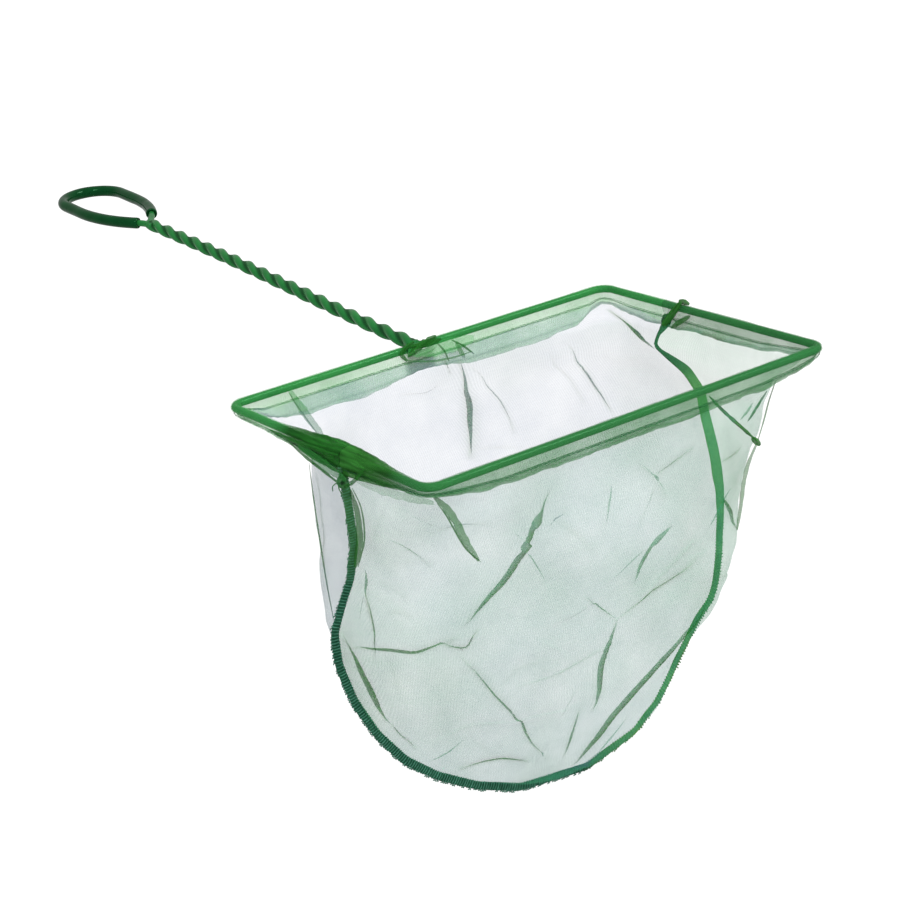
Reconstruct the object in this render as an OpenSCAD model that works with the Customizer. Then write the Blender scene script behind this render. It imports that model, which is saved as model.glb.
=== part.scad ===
// Hand net for an aquarium: a coated wire hoop on a twisted wire handle, with a sewn mesh bag.
// +X runs along the rear rail, +Y runs up the handle away from the bag, +Z is up.
// The origin is the centre of the round end of the grip loop.

/* [Hoop] */
// Width of the hoop, between the centre lines of its short sides
hoop_w = 254; // [180:1:320]
// Depth of the hoop, from the front rail to the rear rail on their centre lines
hoop_d = 178; // [130:1:220]
// Bend radius of the four corners, on the centre line of the wire
corner_r = 8; // [6:0.5:16]
// Diameter of the steel wire
wire_d = 3; // [2:0.1:3.6]
// Thickness of the vinyl on the hoop
coat_t = 0.6; // [0.3:0.05:1]

/* [Handle] */
// Length of the twisted part of the handle
twist_len = 307; // [200:1:420]
// Whole turns that the two strands make about each other
twist_turns = 9; // [6:1:12]
// Thickness of the vinyl over the twisted strands
twist_coat_t = 1; // [0.5:0.05:1.4]
// Gap between the two steel strands, filled with vinyl
strand_gap = 0.2; // [0.1:0.05:0.5]
// Angle by which the handle rises from the plane of the hoop, in degrees
rise = 3.5; // [0:0.5:10]
// Radius of the bend that takes each strand out of the handle into the rear rail
fork_r = 4; // [3:0.5:8]
// Place of the handle's foot along the rear rail, from its middle
fork_place = -6; // [-20:0.5:20]

/* [Grip] */
// Radius of the round end of the grip loop, on the centre line of the wire
loop_r = 21; // [15:0.5:28]
// How far each side of the loop goes across for its way along the handle, where it leaves the neck
loop_slope = 0.75; // [0.5:0.05:1]
// Length of the straight part between the bow of each side and the round end
straight_len = 20; // [2:0.5:40]
// Radius of the bend that takes each strand out of the handle into the loop
neck_r = 12; // [8:0.5:20]
// Outside diameter of the sleeve on the loop
sleeve_d = 7.5; // [6.6:0.1:10]
// Wall thickness of the sleeve
sleeve_wall = 1.3; // [0.8:0.05:1.5]
// Length of coated wire that shows between the neck and the sleeve's left end
left_cut = 1; // [0.5:0.5:10]
// Length of coated wire that shows between the neck and the sleeve's right end
right_cut = 14; // [1:0.5:25]

/* [Bag] */
// Depth of the bag, from the plane of the hoop to the lowest point of its seam
bag_depth = 238; // [160:1:320]
// How far the seam wanders in and out of an even line below each short side
swell = 9; // [0:0.5:14]
// Place across the bag of the lowest point of its seam, from the middle
low_x = 20; // [-30:1:30]
// Place of the seam where it has settled below its tacks, from the middle towards the handle
low_y = 4; // [-15:1:15]
// Thickness of the mesh panels as solids
mesh_t = 0.6; // [0.4:0.05:0.8]
// Share of the bag's depth over which the side seams hang straight
straight_share = 0.48; // [0.3:0.01:0.65]
// Place of the left end of the seam along its short side, from the middle towards the handle
left_tack_y = -21; // [-50:1:50]
// Place of the right end of the seam along its short side, from the middle towards the handle
right_tack_y = 35; // [-50:1:50]

/* [Hem and seam] */
// How far the folded hem hangs below the centre line of the wire
hem_drop = 12; // [8:0.5:16]
// Thickness of the cloth that is folded round the wire
fold_t = 0.5; // [0.3:0.05:0.8]
// Thickness of the hem below the wire, where the fold is stitched
flap_t = 0.9; // [0.8:0.05:1.4]
// Thickness of the sewing thread
thread_t = 0.5; // [0.3:0.05:0.8]
// Width of the overlocked edge that stands out along the seam
band_w = 4.5; // [3:0.25:7]
// Thickness of the overlocked edge
band_t = 1.2; // [0.8:0.1:2]
// Length of the thread tack at each end of the seam
tack_len = 7; // [4:0.5:10]
// Width of each thread tack
tack_w = 3.5; // [2:0.25:5]
// Thickness of each thread tack
tack_t = 1.6; // [1:0.1:2.5]

/* [Hidden] */
$fn = 32;
// Room between the wire's coating and what is slipped over it
slip_gap = 0.15;

wire_r = wire_d / 2;
coat_r = wire_r + coat_t;
strand_x = wire_r + strand_gap / 2;
fork_x = strand_x + fork_r;
half_w = hoop_w / 2;
half_d = hoop_d / 2;

neck_y = fork_r + twist_len;
loop_angle = atan(loop_slope);
bow_r = (loop_r - strand_x) / (1 - cos(loop_angle)) - neck_r;
loop_y = neck_y + (bow_r + neck_r) * sin(loop_angle) + straight_len;

// Sides and rings of the twisted strands, and the film of air that parts their two coatings
strand_sides = 8;
rings_per_turn = 10;
twist_rings = twist_turns * rings_per_turn + 1;
film = strand_gap / 10;

// Share of the handle's twist over which it comes back from its foot to the middle
lean_share = 0.8;

// Steps of the bag: along the short sides, round a corner, along a rail, and round a plain section
side_steps = 3;
corner_steps = 4;
rail_steps = 12;
round_steps = 48;
path_steps = 2 * side_steps + 2 * corner_steps + rail_steps;
straight_depth = bag_depth * straight_share;
// The rings of the bag, as shares of its depth from the hem to the lowest point of the seam
ring_shares = [0, 0.03, 0.08, 0.14, 0.19, 0.27, 0.34, 0.4, 0.49, 0.58, 0.66, 0.72, 0.78, 0.85, 0.91, 0.96];
// Share of the depth at which the sections have left the hoop's rectangle
leave_share = 0.05;
// Share of a section's length over which it comes in to the seam at each end
pinch_share = 0.06;
// How wide the cloth stands beside the seam: share of the depth, then share of half the hoop's width
shoulder_share = [[0, 0.99], [0.27, 0.945], [0.34, 0.8], [1, 0]];
// How far each half of the seam wanders outwards: share of the depth, then share of the swell
left_wander_share = [[0, 0], [0.08, -0.45], [0.19, -1], [0.27, -0.9], [0.34, -0.1], [0.4, 0.35],
    [0.58, 0], [0.85, -0.35], [0.91, -0.35], [1, 0]];
right_wander_share = [[0, 0], [0.03, -1.3], [0.08, -0.45], [0.14, 0.65], [0.19, 0.9], [0.34, 0.5],
    [0.49, 0.2], [0.66, 0.45], [0.72, -0.2], [0.78, -0.8], [0.85, -0.85], [0.91, -0.45], [1, 0]];
// How far each panel stands from the middle: share of the depth, then share of half the hoop's depth
front_reach_share = [[0, 1], [0.03, 0.95], [0.12, 0.9], [0.3, 0.83], [0.49, 0.73], [0.66, 0.57],
    [0.78, 0.43], [0.91, 0.25], [0.96, 0.13], [1, 0]];
back_reach_share = [[0, 1], [0.03, 0.95], [0.12, 0.9], [0.3, 0.83], [0.49, 0.68], [0.66, 0.53],
    [0.78, 0.4], [0.91, 0.23], [0.96, 0.12], [1, 0]];
// Shape of each panel's section by share of the depth: 2 is an ellipse, more is squarer, less is pointed
front_powers = [[0, 5.2], [0.06, 4.9], [0.12, 3.5], [0.21, 2.5], [0.3, 2.1], [0.48, 2], [0.57, 1.8],
    [0.7, 1.5], [1, 1.4]];
back_powers = [[0, 2.5], [0.06, 2.4], [0.12, 2.8], [0.21, 2.9], [0.3, 2.7], [0.39, 2], [0.48, 1.6],
    [0.57, 1.5], [0.7, 1.4], [1, 1.4]];
// Place of the hem's stitching, as a share of the hem's drop
stitch_share = 0.6;

vinyl = "#2f8045";
cased = "#2a7038";
sleeve_green = "#0f4a22";
mesh_green = "#b9cfc6";
thread_green = "#1f5c3a";
steel = "#9a9ea2";

function mix(a, b, share) = a + (b - a) * share;
function ease(share) = share < 0 ? 0 : share > 1 ? 1 : share * share * (3 - 2 * share);

// Moves the hoop's own frame, with its centre at zero, to where the grip loop puts it
module from_hoop() {
    translate([0, -half_d - loop_y * cos(rise), -loop_y * sin(rise)]) children();
}

// The handle's frame: X across, Y up the handle from the rear rail, Z out of the loop's plane
module from_handle() {
    from_hoop() translate([0, half_d, 0]) rotate([rise, 0, 0]) children();
}

// A straight run of a profile back along Y from zero. The profile's x stays x and its y becomes z
module straight_run(length) {
    rotate([90, 0, 0]) linear_extrude(height = length) children();
}

// A quarter bend of a profile whose x points out of the bend
module bend_run(radius, angle) {
    rotate_extrude(angle = angle) translate([radius, 0]) children();
}

// One corner of the hoop, turned to the quarter that it stands in
module corner_run(quarter) {
    x = quarter == 0 || quarter == 3 ? 1 : -1;
    y = quarter < 2 ? 1 : -1;
    translate([x * (half_w - corner_r), y * (half_d - corner_r), 0])
        rotate([0, 0, 90 * quarter]) bend_run(corner_r, 90) children();
}

// A run along one short side, between two places on it
module side_run(side, from_y, to_y) {
    translate([side * half_w, side > 0 ? to_y : from_y, 0])
        rotate([0, 0, side > 0 ? 0 : 180]) straight_run(to_y - from_y) children();
}

// A run along one long rail, between two places on it
module rail_run(rail, from_x, to_x) {
    translate([rail > 0 ? from_x : to_x, rail * half_d, 0])
        rotate([0, 0, 90 * rail]) straight_run(to_x - from_x) children();
}

// The rear rail, from each corner to the bend where its wire turns into the handle
module rear_rails() {
    rail_run(1, fork_place + fork_x, half_w - corner_r) children();
    rail_run(1, corner_r - half_w, fork_place - fork_x) children();
}

// The whole rectangle, open in the middle of its rear rail
module hoop_run() {
    for (quarter = [0 : 3]) corner_run(quarter) children();
    for (side = [-1, 1]) side_run(side, corner_r - half_d, half_d - corner_r) children();
    rail_run(-1, corner_r - half_w, half_w - corner_r) children();
    rear_rails() children();
}

// The part of the hoop that carries the front panel, from one seam tack to the other
module front_run() {
    for (quarter = [2, 3]) corner_run(quarter) children();
    side_run(-1, corner_r - half_d, left_tack_y) children();
    side_run(1, corner_r - half_d, right_tack_y) children();
    rail_run(-1, corner_r - half_w, half_w - corner_r) children();
}

// The part of the hoop that carries the back panel, which leaves the fork bare
module rear_run() {
    for (quarter = [0, 1]) corner_run(quarter) children();
    side_run(-1, left_tack_y, half_d - corner_r) children();
    side_run(1, right_tack_y, half_d - corner_r) children();
    rear_rails() children();
}

// The two bends that take the strands out of the rear rail into the handle
module fork_run() {
    translate([fork_place, 0, 0]) both_sides()
        translate([fork_x, fork_r, 0]) rotate([0, 0, 180]) bend_run(fork_r, 90) children();
}

// Draws a shape of the right side on both sides of the handle
module both_sides() for (side = [0, 1]) mirror([side, 0, 0]) children();

// The loop's right side, in a frame with its zero at the centre of the bow between neck and round end
module loop_side() {
    translate([0, loop_y, 0]) translate([loop_r - bow_r, -straight_len, 0]) children();
}

// The bend that takes the right strand out of the handle into the loop
module right_neck() {
    loop_side() rotate([0, 0, -loop_angle]) translate([bow_r + neck_r, 0, 0])
        rotate([0, 0, 180]) bend_run(neck_r, loop_angle) children();
}

// The right half of the loop: the bow, its straight part and half the round end. The bow may stop short
// of the straight part by an angle
module half_loop(short) {
    loop_side() rotate([0, 0, -loop_angle]) bend_run(bow_r, loop_angle - short) children();
    translate([0, loop_y, 0]) {
        translate([loop_r, 0, 0]) straight_run(straight_len) children();
        bend_run(loop_r, 90) children();
    }
}

module grip_run(short) both_sides() half_loop(short) children();

// The room round the right side of the loop for a given length after its neck bend
module before_sleeve(length) {
    turn = length / bow_r * 180 / PI;
    room = sleeve_d + 2 * slip_gap;
    near = bow_r * cos(turn) - room / 2;
    loop_side() rotate([0, 0, turn - loop_angle]) translate([near, -length - room, -room])
        cube([bow_r + room / 2 - near, length + room, 2 * room]);
}

module wire_section() circle(r = wire_r);

module coat_section() difference() {
    circle(r = coat_r);
    circle(r = wire_r);
}

module sleeve_section() difference() {
    circle(d = sleeve_d);
    circle(r = sleeve_d / 2 - sleeve_wall);
}

// Folded cloth: a ring round the coated wire, with the stitched hem hanging from it
module casing_section() difference() {
    union() {
        circle(r = coat_r + slip_gap + fold_t);
        translate([-flap_t / 2, -hem_drop]) square([flap_t, hem_drop]);
    }
    circle(r = coat_r + slip_gap);
}

// Needle thread and bobbin thread, one on each face of the hem
module thread_section() for (face = [-1, 1])
    translate([face * (flap_t + thread_t) / 2, -hem_drop * stitch_share])
        square([thread_t, thread_t], center = true);

// Depth below the hoop at a share of the way down the bag, for a shell drawn in by an inset
function ring_depth(share, inset) = mix(hem_drop, bag_depth - inset, share);

// End of a ring on one side of the bag: it hangs straight, then comes round to the lowest point
function seam_point(side, share, inset, tack_y, rest_y) =
    let (depth = ring_depth(share, inset),
        drop = cos(asin(max(0, depth - straight_depth) / (bag_depth - inset - straight_depth))),
        wander = lookup(share, side < 0 ? left_wander_share : right_wander_share))
    [side * ((half_w + mesh_t / 2 - inset) * drop + swell * wander) + low_x * (1 - drop),
        mix(tack_y, rest_y, ease((depth - hem_drop) / straight_depth))];

// The hoop's rounded rectangle through the front corners, between the two ends of a panel
function square_path(left, right, w, d) = concat(
    [for (i = [0 : side_steps - 1]) mix(left, [-w, corner_r - d], i / side_steps)],
    [for (i = [0 : corner_steps - 1]) let (turn = 180 + 90 * i / corner_steps)
        [corner_r - w + corner_r * cos(turn), corner_r - d + corner_r * sin(turn)]],
    [for (i = [0 : rail_steps - 1]) [mix(corner_r - w, w - corner_r, i / rail_steps), -d]],
    [for (i = [0 : corner_steps - 1]) let (turn = 270 + 90 * i / corner_steps)
        [w - corner_r + corner_r * cos(turn), corner_r - d + corner_r * sin(turn)]],
    [for (i = [0 : side_steps]) mix([w, corner_r - d], right, i / side_steps)]);

// Round or squarish section between two ends, by the power of its superellipse
function round_path(left, right, reach, power) =
    [for (i = [0 : round_steps])
        let (turn = 180 * i / round_steps, p = 2 / power, across = sign(cos(turn)) * pow(abs(cos(turn)), p),
            between = mix(left, right, (1 - across) / 2))
        [between[0], mix(between[1], -reach, pow(abs(sin(turn)), p))]];

// How much of its way in to the seam a point of a section has come, by its share of the section's length
function pinch(share) = exp(-pow(min(share, 1 - share) / pinch_share, 2));

// How far along a line each of its points is
function run_of(path) =
    [for (i = 0, run = 0; i < len(path);
        run = run + (i + 1 < len(path) ? norm(path[i + 1] - path[i]) : 0), i = i + 1) run];

// Points of one line that lie as far along it, as shares, as the points of another line
function placed_like(path, model) =
    let (run = run_of(path), model_run = run_of(model),
        scale = run[len(path) - 1] / model_run[len(model) - 1],
        xs = [for (i = [0 : len(path) - 1]) [run[i], path[i][0]]],
        ys = [for (i = [0 : len(path) - 1]) [run[i], path[i][1]]])
    [for (at = model_run) [lookup(at * scale, xs), lookup(at * scale, ys)]];

// One ring of a panel, wider than the seam but drawn in to it at its ends. A panel's form is its left
// and right tack, its seam's resting place, its reach and its powers
function panel_ring(share, inset, form) =
    let (shrink = mesh_t / 2 - inset,
        left = seam_point(-1, share, inset, form[0], form[2]),
        right = seam_point(1, share, inset, form[1], form[2]),
        square_ring = square_path(left, right, half_w + shrink, half_d + shrink),
        shoulder = half_w * lookup(share, shoulder_share) + shrink,
        wide_left = [min(left[0], -shoulder), left[1]],
        wide_right = [max(right[0], shoulder), right[1]],
        reach = half_d * lookup(share, form[3]) + shrink,
        power = lookup(share, form[4]),
        round_ring = placed_like(round_path(wide_left, wide_right, reach, power), square_ring),
        depth = ring_depth(share, inset))
    [for (i = [0 : path_steps])
        let (at = i / path_steps, drawn = mix(left - wide_left, right - wide_right, at) * pinch(at),
            p = mix(square_ring[i], round_ring[i] + drawn, ease(share / leave_share)))
        [p[0], max(p[1], -half_d - shrink), -depth]];

// One mesh panel: an outer and an inner skin of rings, each closed at the lowest point of the seam
module panel(form) {
    outer = [for (share = ring_shares) panel_ring(share, 0, form)];
    inner = [for (share = ring_shares) panel_ring(share, mesh_t, form)];
    across = path_steps + 1;
    rows = len(outer);
    skin = rows * across;
    outer_pole = 2 * skin;
    inner_pole = outer_pole + 1;
    last = (rows - 1) * across;
    polyhedron(
        points = concat([for (ring = outer) each ring], [for (ring = inner) each ring],
            [[low_x, form[2], -bag_depth], [low_x, form[2], mesh_t - bag_depth]]),
        faces = concat(
            [for (k = [0 : rows - 2], i = [0 : path_steps - 1]) let (a = k * across + i, b = a + across)
                each [[a, a + 1, b], [a + 1, b + 1, b],
                    [skin + a, skin + b, skin + a + 1], [skin + a + 1, skin + b, skin + b + 1]]],
            [for (i = [0 : path_steps - 1]) each [[last + i, last + i + 1, outer_pole],
                [skin + last + i + 1, skin + last + i, inner_pole]]],
            [for (i = [0 : path_steps - 1])
                each [[i, skin + i, i + 1], [i + 1, skin + i, skin + i + 1]]],
            [for (k = [0 : rows - 2]) let (a = k * across, b = a + across)
                each [[a, b, skin + a], [b, skin + b, skin + a]]],
            [for (k = [0 : rows - 2]) let (a = k * across + path_steps, b = a + across)
                each [[a, skin + a, b], [b, skin + a, skin + b]]],
            [[last, outer_pole, skin + last], [outer_pole, inner_pole, skin + last],
                [last + path_steps, skin + last + path_steps, outer_pole],
                [outer_pole, skin + last + path_steps, inner_pole]]),
        convexity = 6);
}

// One half of the seam's line on the outside of the bag, through a list of its rings
function half_seam(side, tack_y, shares) =
    [for (share = shares) let (p = seam_point(side, share, 0, tack_y, low_y))
        [p[0], p[1], -ring_depth(share, 0)]];

// The seam's whole line, from the left tack down and up to the right tack
function seam_line() = concat(half_seam(-1, left_tack_y, ring_shares), [[low_x, low_y, -bag_depth]],
    half_seam(1, right_tack_y, [for (k = [len(ring_shares) - 1 : -1 : 0]) ring_shares[k]]));

// Direction out of the bag, square to the seam and in the plane that faces the front
function seam_out(line, k) =
    let (a = line[max(k - 1, 0)], b = line[min(k + 1, len(line) - 1)], run = [b[0] - a[0], b[2] - a[2]])
    [run[1], 0, -run[0]] / norm(run);

// Triangles between successive rings of points, counted from a given first point
function wall(rings, sides, first) =
    [for (k = [0 : rings - 2], i = [0 : sides - 1])
        let (a = first + k * sides + i, b = first + k * sides + (i + 1) % sides)
        each [[a, b, a + sides], [b, b + sides, a + sides]]];

// The two ends of a solid run of rings
function end_caps(rings, sides) =
    [[for (i = [sides - 1 : -1 : 0]) i], [for (i = [0 : sides - 1]) (rings - 1) * sides + i]];

// The two ends of a hollow run, whose inner rings follow all of its outer ones
function end_washers(rings, sides) = let (inner = rings * sides, last = (rings - 1) * sides)
    [for (i = [0 : sides - 1]) let (j = (i + 1) % sides)
        each [[i, inner + i, j], [j, inner + i, inner + j],
            [last + i, last + j, inner + last + i], [last + j, inner + last + j, inner + last + i]]];

// A strip that follows the seam. Each section point is its way out of the bag and its way back
module seam_strip(section) {
    line = seam_line();
    sides = len(section);
    rings = len(line);
    polyhedron(
        points = [for (k = [0 : rings - 1]) let (out = seam_out(line, k)) each
            [for (p = section) line[k] + out * p[0] + [0, p[1], 0]]],
        faces = concat(wall(rings, sides, 0), end_caps(rings, sides)),
        convexity = 4);
}

// Rings of a section that turns right-handed about the handle as it climbs and leans in from its foot
function twisted(section) =
    [for (k = [0 : twist_rings - 1])
        let (share = k / (twist_rings - 1), turn = 360 * k / rings_per_turn,
            lean = fork_place * (1 - ease(share / lean_share)))
        each [for (p = section) [lean + p[0] * cos(turn) + p[1] * sin(turn), fork_r + twist_len * share,
            p[1] * cos(turn) - p[0] * sin(turn)]]];

// Section of one strand, or of the outside of its coating where it stays on its own side
function strand_section(side, radius) =
    [for (i = [0 : strand_sides - 1]) let (turn = side * 360 * (i + 0.5) / strand_sides)
        [side * max(film / 2, strand_x + radius * cos(turn)), radius * sin(turn)]];

module twisted_strand(side) {
    polyhedron(
        points = twisted(strand_section(side, wire_r)),
        faces = concat(wall(twist_rings, strand_sides, 0), end_caps(twist_rings, strand_sides)),
        convexity = 8);
}

module twisted_coating(side) {
    outer = twisted(strand_section(side, wire_r + twist_coat_t));
    inner_wall = wall(twist_rings, strand_sides, len(outer));
    polyhedron(
        points = concat(outer, twisted(strand_section(side, wire_r))),
        faces = concat(wall(twist_rings, strand_sides, 0),
            [for (face = inner_wall) [face[2], face[1], face[0]]],
            end_washers(twist_rings, strand_sides)),
        convexity = 8);
}

// Steel wire

module hoop_wire() color(steel) {
    from_hoop() hoop_run() wire_section();
    from_handle() fork_run() wire_section();
}

module left_strand() color(steel) from_handle() twisted_strand(-1);

module right_strand() color(steel) from_handle() twisted_strand(1);

module loop_wire() color(steel) from_handle() {
    both_sides() right_neck() wire_section();
    grip_run(0) wire_section();
}

// Vinyl coating

module hoop_coating() color(vinyl) from_hoop() hoop_run() coat_section();

module fork_coating() color(vinyl) from_handle() difference() {
    fork_run() circle(r = coat_r);
    fork_run() circle(r = wire_r);
}

module left_strand_coating() color(vinyl) from_handle() twisted_coating(-1);

module right_strand_coating() color(vinyl) from_handle() twisted_coating(1);

module neck_coating() color(vinyl) from_handle() both_sides() intersection() {
    right_neck() coat_section();
    translate([film / 2, neck_y - neck_r, -neck_r]) cube([2 * neck_r, 2 * neck_r, 2 * neck_r]);
}

module loop_coating() color(vinyl) from_handle() grip_run(film / bow_r * 180 / PI) coat_section();

module grip_sleeve() color(sleeve_green) from_handle() difference() {
    grip_run(0) sleeve_section();
    mirror([1, 0, 0]) before_sleeve(left_cut);
    before_sleeve(right_cut);
}

// Bag

module front_panel() color(mesh_green) from_hoop()
    panel([left_tack_y, right_tack_y, low_y, front_reach_share, front_powers]);

module back_panel() color(mesh_green) from_hoop() mirror([0, 1, 0])
    panel([-left_tack_y, -right_tack_y, -low_y, back_reach_share, back_powers]);

module front_casing() color(cased) from_hoop() front_run() casing_section();

module rear_casing() color(cased) from_hoop() rear_run() casing_section();

module front_hem_thread() color(thread_green) from_hoop() front_run() thread_section();

module rear_hem_thread() color(thread_green) from_hoop() rear_run() thread_section();

// Its inner edge is beveled, where it meets the panels
module seam_band() color(thread_green) from_hoop() seam_strip([[0, 0], [mesh_t / 2, -band_t / 2],
    [band_w, -band_t / 2], [band_w, band_t / 2], [mesh_t / 2, band_t / 2]]);

// Hexagonal strand along the outer edge of the band
module seam_thread() color(thread_green) from_hoop() seam_strip(
    [for (i = [0 : 5]) [band_w + thread_t + thread_t * cos(60 * i), thread_t * sin(60 * i)]]);

// A flat bar of knotted thread on the outer face of the hem, over the end of the seam
module tack(side, tack_y) {
    translate([side * (half_w + flap_t / 2 + thread_t), tack_y, -hem_drop])
        rotate([0, 90 * side, 0])
            linear_extrude(height = tack_t) {
                square([tack_len - tack_w, tack_w], center = true);
                for (end = [-1, 1]) translate([end * (tack_len - tack_w) / 2, 0]) circle(d = tack_w);
            }
}

module left_tack() color(thread_green) from_hoop() tack(-1, left_tack_y);

module right_tack() color(thread_green) from_hoop() tack(1, right_tack_y);

hoop_wire();
left_strand();
right_strand();
loop_wire();
hoop_coating();
fork_coating();
left_strand_coating();
right_strand_coating();
neck_coating();
loop_coating();
grip_sleeve();
front_panel();
back_panel();
front_casing();
rear_casing();
front_hem_thread();
rear_hem_thread();
seam_band();
seam_thread();
left_tack();
right_tack();
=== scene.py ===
"""Hand net for an aquarium: coated wire, sleeved grip, sheer mesh bag and its sewing."""
import math

import bpy
import numpy as np
from mathutils import Matrix, Vector, noise
from mathutils.bvhtree import BVHTree
from mathutils.geometry import delaunay_2d_cdt


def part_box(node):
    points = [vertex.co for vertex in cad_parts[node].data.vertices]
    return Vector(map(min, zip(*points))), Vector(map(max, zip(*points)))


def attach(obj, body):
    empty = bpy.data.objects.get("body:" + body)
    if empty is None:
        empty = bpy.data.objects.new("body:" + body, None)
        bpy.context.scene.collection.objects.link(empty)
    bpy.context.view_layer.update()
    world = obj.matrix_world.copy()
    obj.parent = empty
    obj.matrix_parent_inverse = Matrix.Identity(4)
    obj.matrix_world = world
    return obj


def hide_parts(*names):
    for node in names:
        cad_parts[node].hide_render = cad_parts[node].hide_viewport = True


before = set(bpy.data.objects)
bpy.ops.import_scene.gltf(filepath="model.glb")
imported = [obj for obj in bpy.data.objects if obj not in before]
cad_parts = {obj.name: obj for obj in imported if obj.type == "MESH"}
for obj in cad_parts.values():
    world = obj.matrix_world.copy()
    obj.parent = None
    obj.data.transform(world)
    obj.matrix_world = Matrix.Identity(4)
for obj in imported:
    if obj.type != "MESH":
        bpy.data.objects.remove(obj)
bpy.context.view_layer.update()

# Shapes are worked out in millimetres from the centre of the hoop, with the hoop level at zero
MM = 0.001

# Wire frame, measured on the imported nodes
hoop_low, hoop_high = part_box("hoop_coating")
HOOP_CENTRE = np.array((hoop_low + hoop_high) / 2)
COAT_R = (hoop_high.z - hoop_low.z) / 2 / MM
HALF_W = (hoop_high.x - hoop_low.x) / 2 / MM - COAT_R
HALF_D = (hoop_high.y - hoop_low.y) / 2 / MM - COAT_R
RISE = math.atan2(-HOOP_CENTRE[2], -HOOP_CENTRE[1] - HALF_D * MM)
CORNER_R = 8
FORK_R = 4
STRAND_X = 1.6
FORK_X = STRAND_X + FORK_R
TWIST_LEN = 307
TWIST_TURNS = 9
STRAND_COAT_R = 2.5
LOOP_R = 21
LOOP_ANGLE = math.atan(0.75)
STRAIGHT_LEN = 20
NECK_R = 12
SLEEVE_R = 3.75
SLEEVE_WALL = 1.3
LEFT_CUT = 1
RIGHT_CUT = 14
BAG_DEPTH = 238

# The photograph's camera: its frame and focal length in pixels, then angles and millimetres
PHOTO = 900
FOCAL = 2200
SENSOR = 36
VIEW_AZIMUTH = math.radians(-34.04)
VIEW_ELEVATION = math.radians(20.63)
VIEW_ROLL = math.radians(5.97)
VIEW_DISTANCE = 1053.4
VIEW_TARGET = np.array([-89.5, -55.2, 0])


def ease(value):
    """From 0 to 1 with a soft start and end."""
    value = np.clip(value, 0, 1)
    return value * value * (3 - 2 * value)


def ramp(value, start, run):
    """0 up to a start, and 1 from a run beyond it."""
    return ease((value - start) / run)


def mix(a, b, share):
    return a + (b - a) * share


def unit(vectors):
    length = np.linalg.norm(vectors, axis=-1, keepdims=True)
    return vectors / np.maximum(length, 1e-12)


def in_row(points):
    """Millimetres from the hoop's centre, as metres in the row frame."""
    return HOOP_CENTRE + np.asarray(points, float) * MM


def in_handle(points):
    """Across the handle, along it from the rear rail and up from the loop's plane, as hoop millimetres."""
    across, along, up = np.asarray(points, float).T
    return np.stack([across, HALF_D + along * math.cos(RISE) - up * math.sin(RISE),
                     along * math.sin(RISE) + up * math.cos(RISE)], 1)


def add_object(name, data):
    """Puts new data in the scene."""
    made = bpy.data.objects.new(name, data)
    bpy.context.collection.objects.link(made)
    return made


def ripple_at(x, y, z):
    """Smooth noise at one place."""
    return noise.noise(Vector((x, y, z)))


def ripple_row(places, seed):
    """Smooth noise at places along a line."""
    return np.array([ripple_at(x, seed, 0) for x in places])


def left_of(ways):
    """At right angles to flat ways."""
    return np.stack([-ways[..., 1], ways[..., 0]], -1)


def soften(line, passes):
    """Draws each point of a line towards its neighbours."""
    for _ in range(passes):
        line[1:-1] = (line[:-2] + line[2:] + 2 * line[1:-1]) / 4
    return line


def full_turn(sides):
    return np.linspace(0, 2 * math.pi, sides, endpoint=False)


# Camera

def camera_axes():
    """Right, down and forward of the photograph's camera."""
    back = np.array([math.sin(VIEW_AZIMUTH) * math.cos(VIEW_ELEVATION),
                     -math.cos(VIEW_AZIMUTH) * math.cos(VIEW_ELEVATION), math.sin(VIEW_ELEVATION)])
    right = unit(np.cross(-back, [0, 0, 1]))
    down = np.cross(-back, right)
    turned_right = math.cos(VIEW_ROLL) * right + math.sin(VIEW_ROLL) * down
    turned_down = math.cos(VIEW_ROLL) * down - math.sin(VIEW_ROLL) * right
    return turned_right, turned_down, -back


RIGHT, DOWN, FORWARD = camera_axes()
EYE = VIEW_TARGET - FORWARD * VIEW_DISTANCE


def pixel_ray(pixel):
    """Direction from the camera through a pixel of the photograph."""
    across, below = ((value - PHOTO / 2) / FOCAL for value in pixel)
    return unit(FORWARD + RIGHT * across + DOWN * below)


def make_camera():
    camera = add_object("camera", bpy.data.cameras.new("camera"))
    camera.data.sensor_width = SENSOR
    camera.data.lens = FOCAL * SENSOR / PHOTO
    camera.data.clip_start, camera.data.clip_end = 0.05, 50
    turn = Matrix(np.stack([RIGHT, -DOWN, -FORWARD], 1).tolist())
    camera.matrix_world = Matrix.Translation(in_row(EYE)) @ turn.to_4x4()
    bpy.context.scene.camera = camera


make_camera()


# Shader building

def add_node(tree, kind, settings=None, inputs=None):
    """A node with its settings, and each input joined to a socket or given a value."""
    node = tree.nodes.new(kind)
    for key, value in (settings or {}).items():
        setattr(node, key, value)
    for key, value in (inputs or {}).items():
        if isinstance(value, Socket):
            value = value.socket
        if isinstance(value, bpy.types.NodeSocket):
            tree.links.new(value, node.inputs[key])
        else:
            node.inputs[key].default_value = value
    return node


class Socket:
    """A shader socket that does sums: each operator adds a Math node to its tree."""

    def __init__(self, tree, socket):
        self.tree, self.socket = tree, socket

    def combine(self, operation, first, second=0.0):
        node = add_node(self.tree, "ShaderNodeMath", {"operation": operation}, {0: first, 1: second})
        return Socket(self.tree, node.outputs[0])

    def __add__(self, other):
        return self.combine("ADD", self, other)

    def __sub__(self, other):
        return self.combine("SUBTRACT", self, other)

    def __mul__(self, other):
        return self.combine("MULTIPLY", self, other)

    def sine(self):
        return self.combine("SINE", self)

    def at_most(self, other):
        return self.combine("MINIMUM", self, other)

    __radd__ = __add__
    __rmul__ = __mul__


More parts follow.
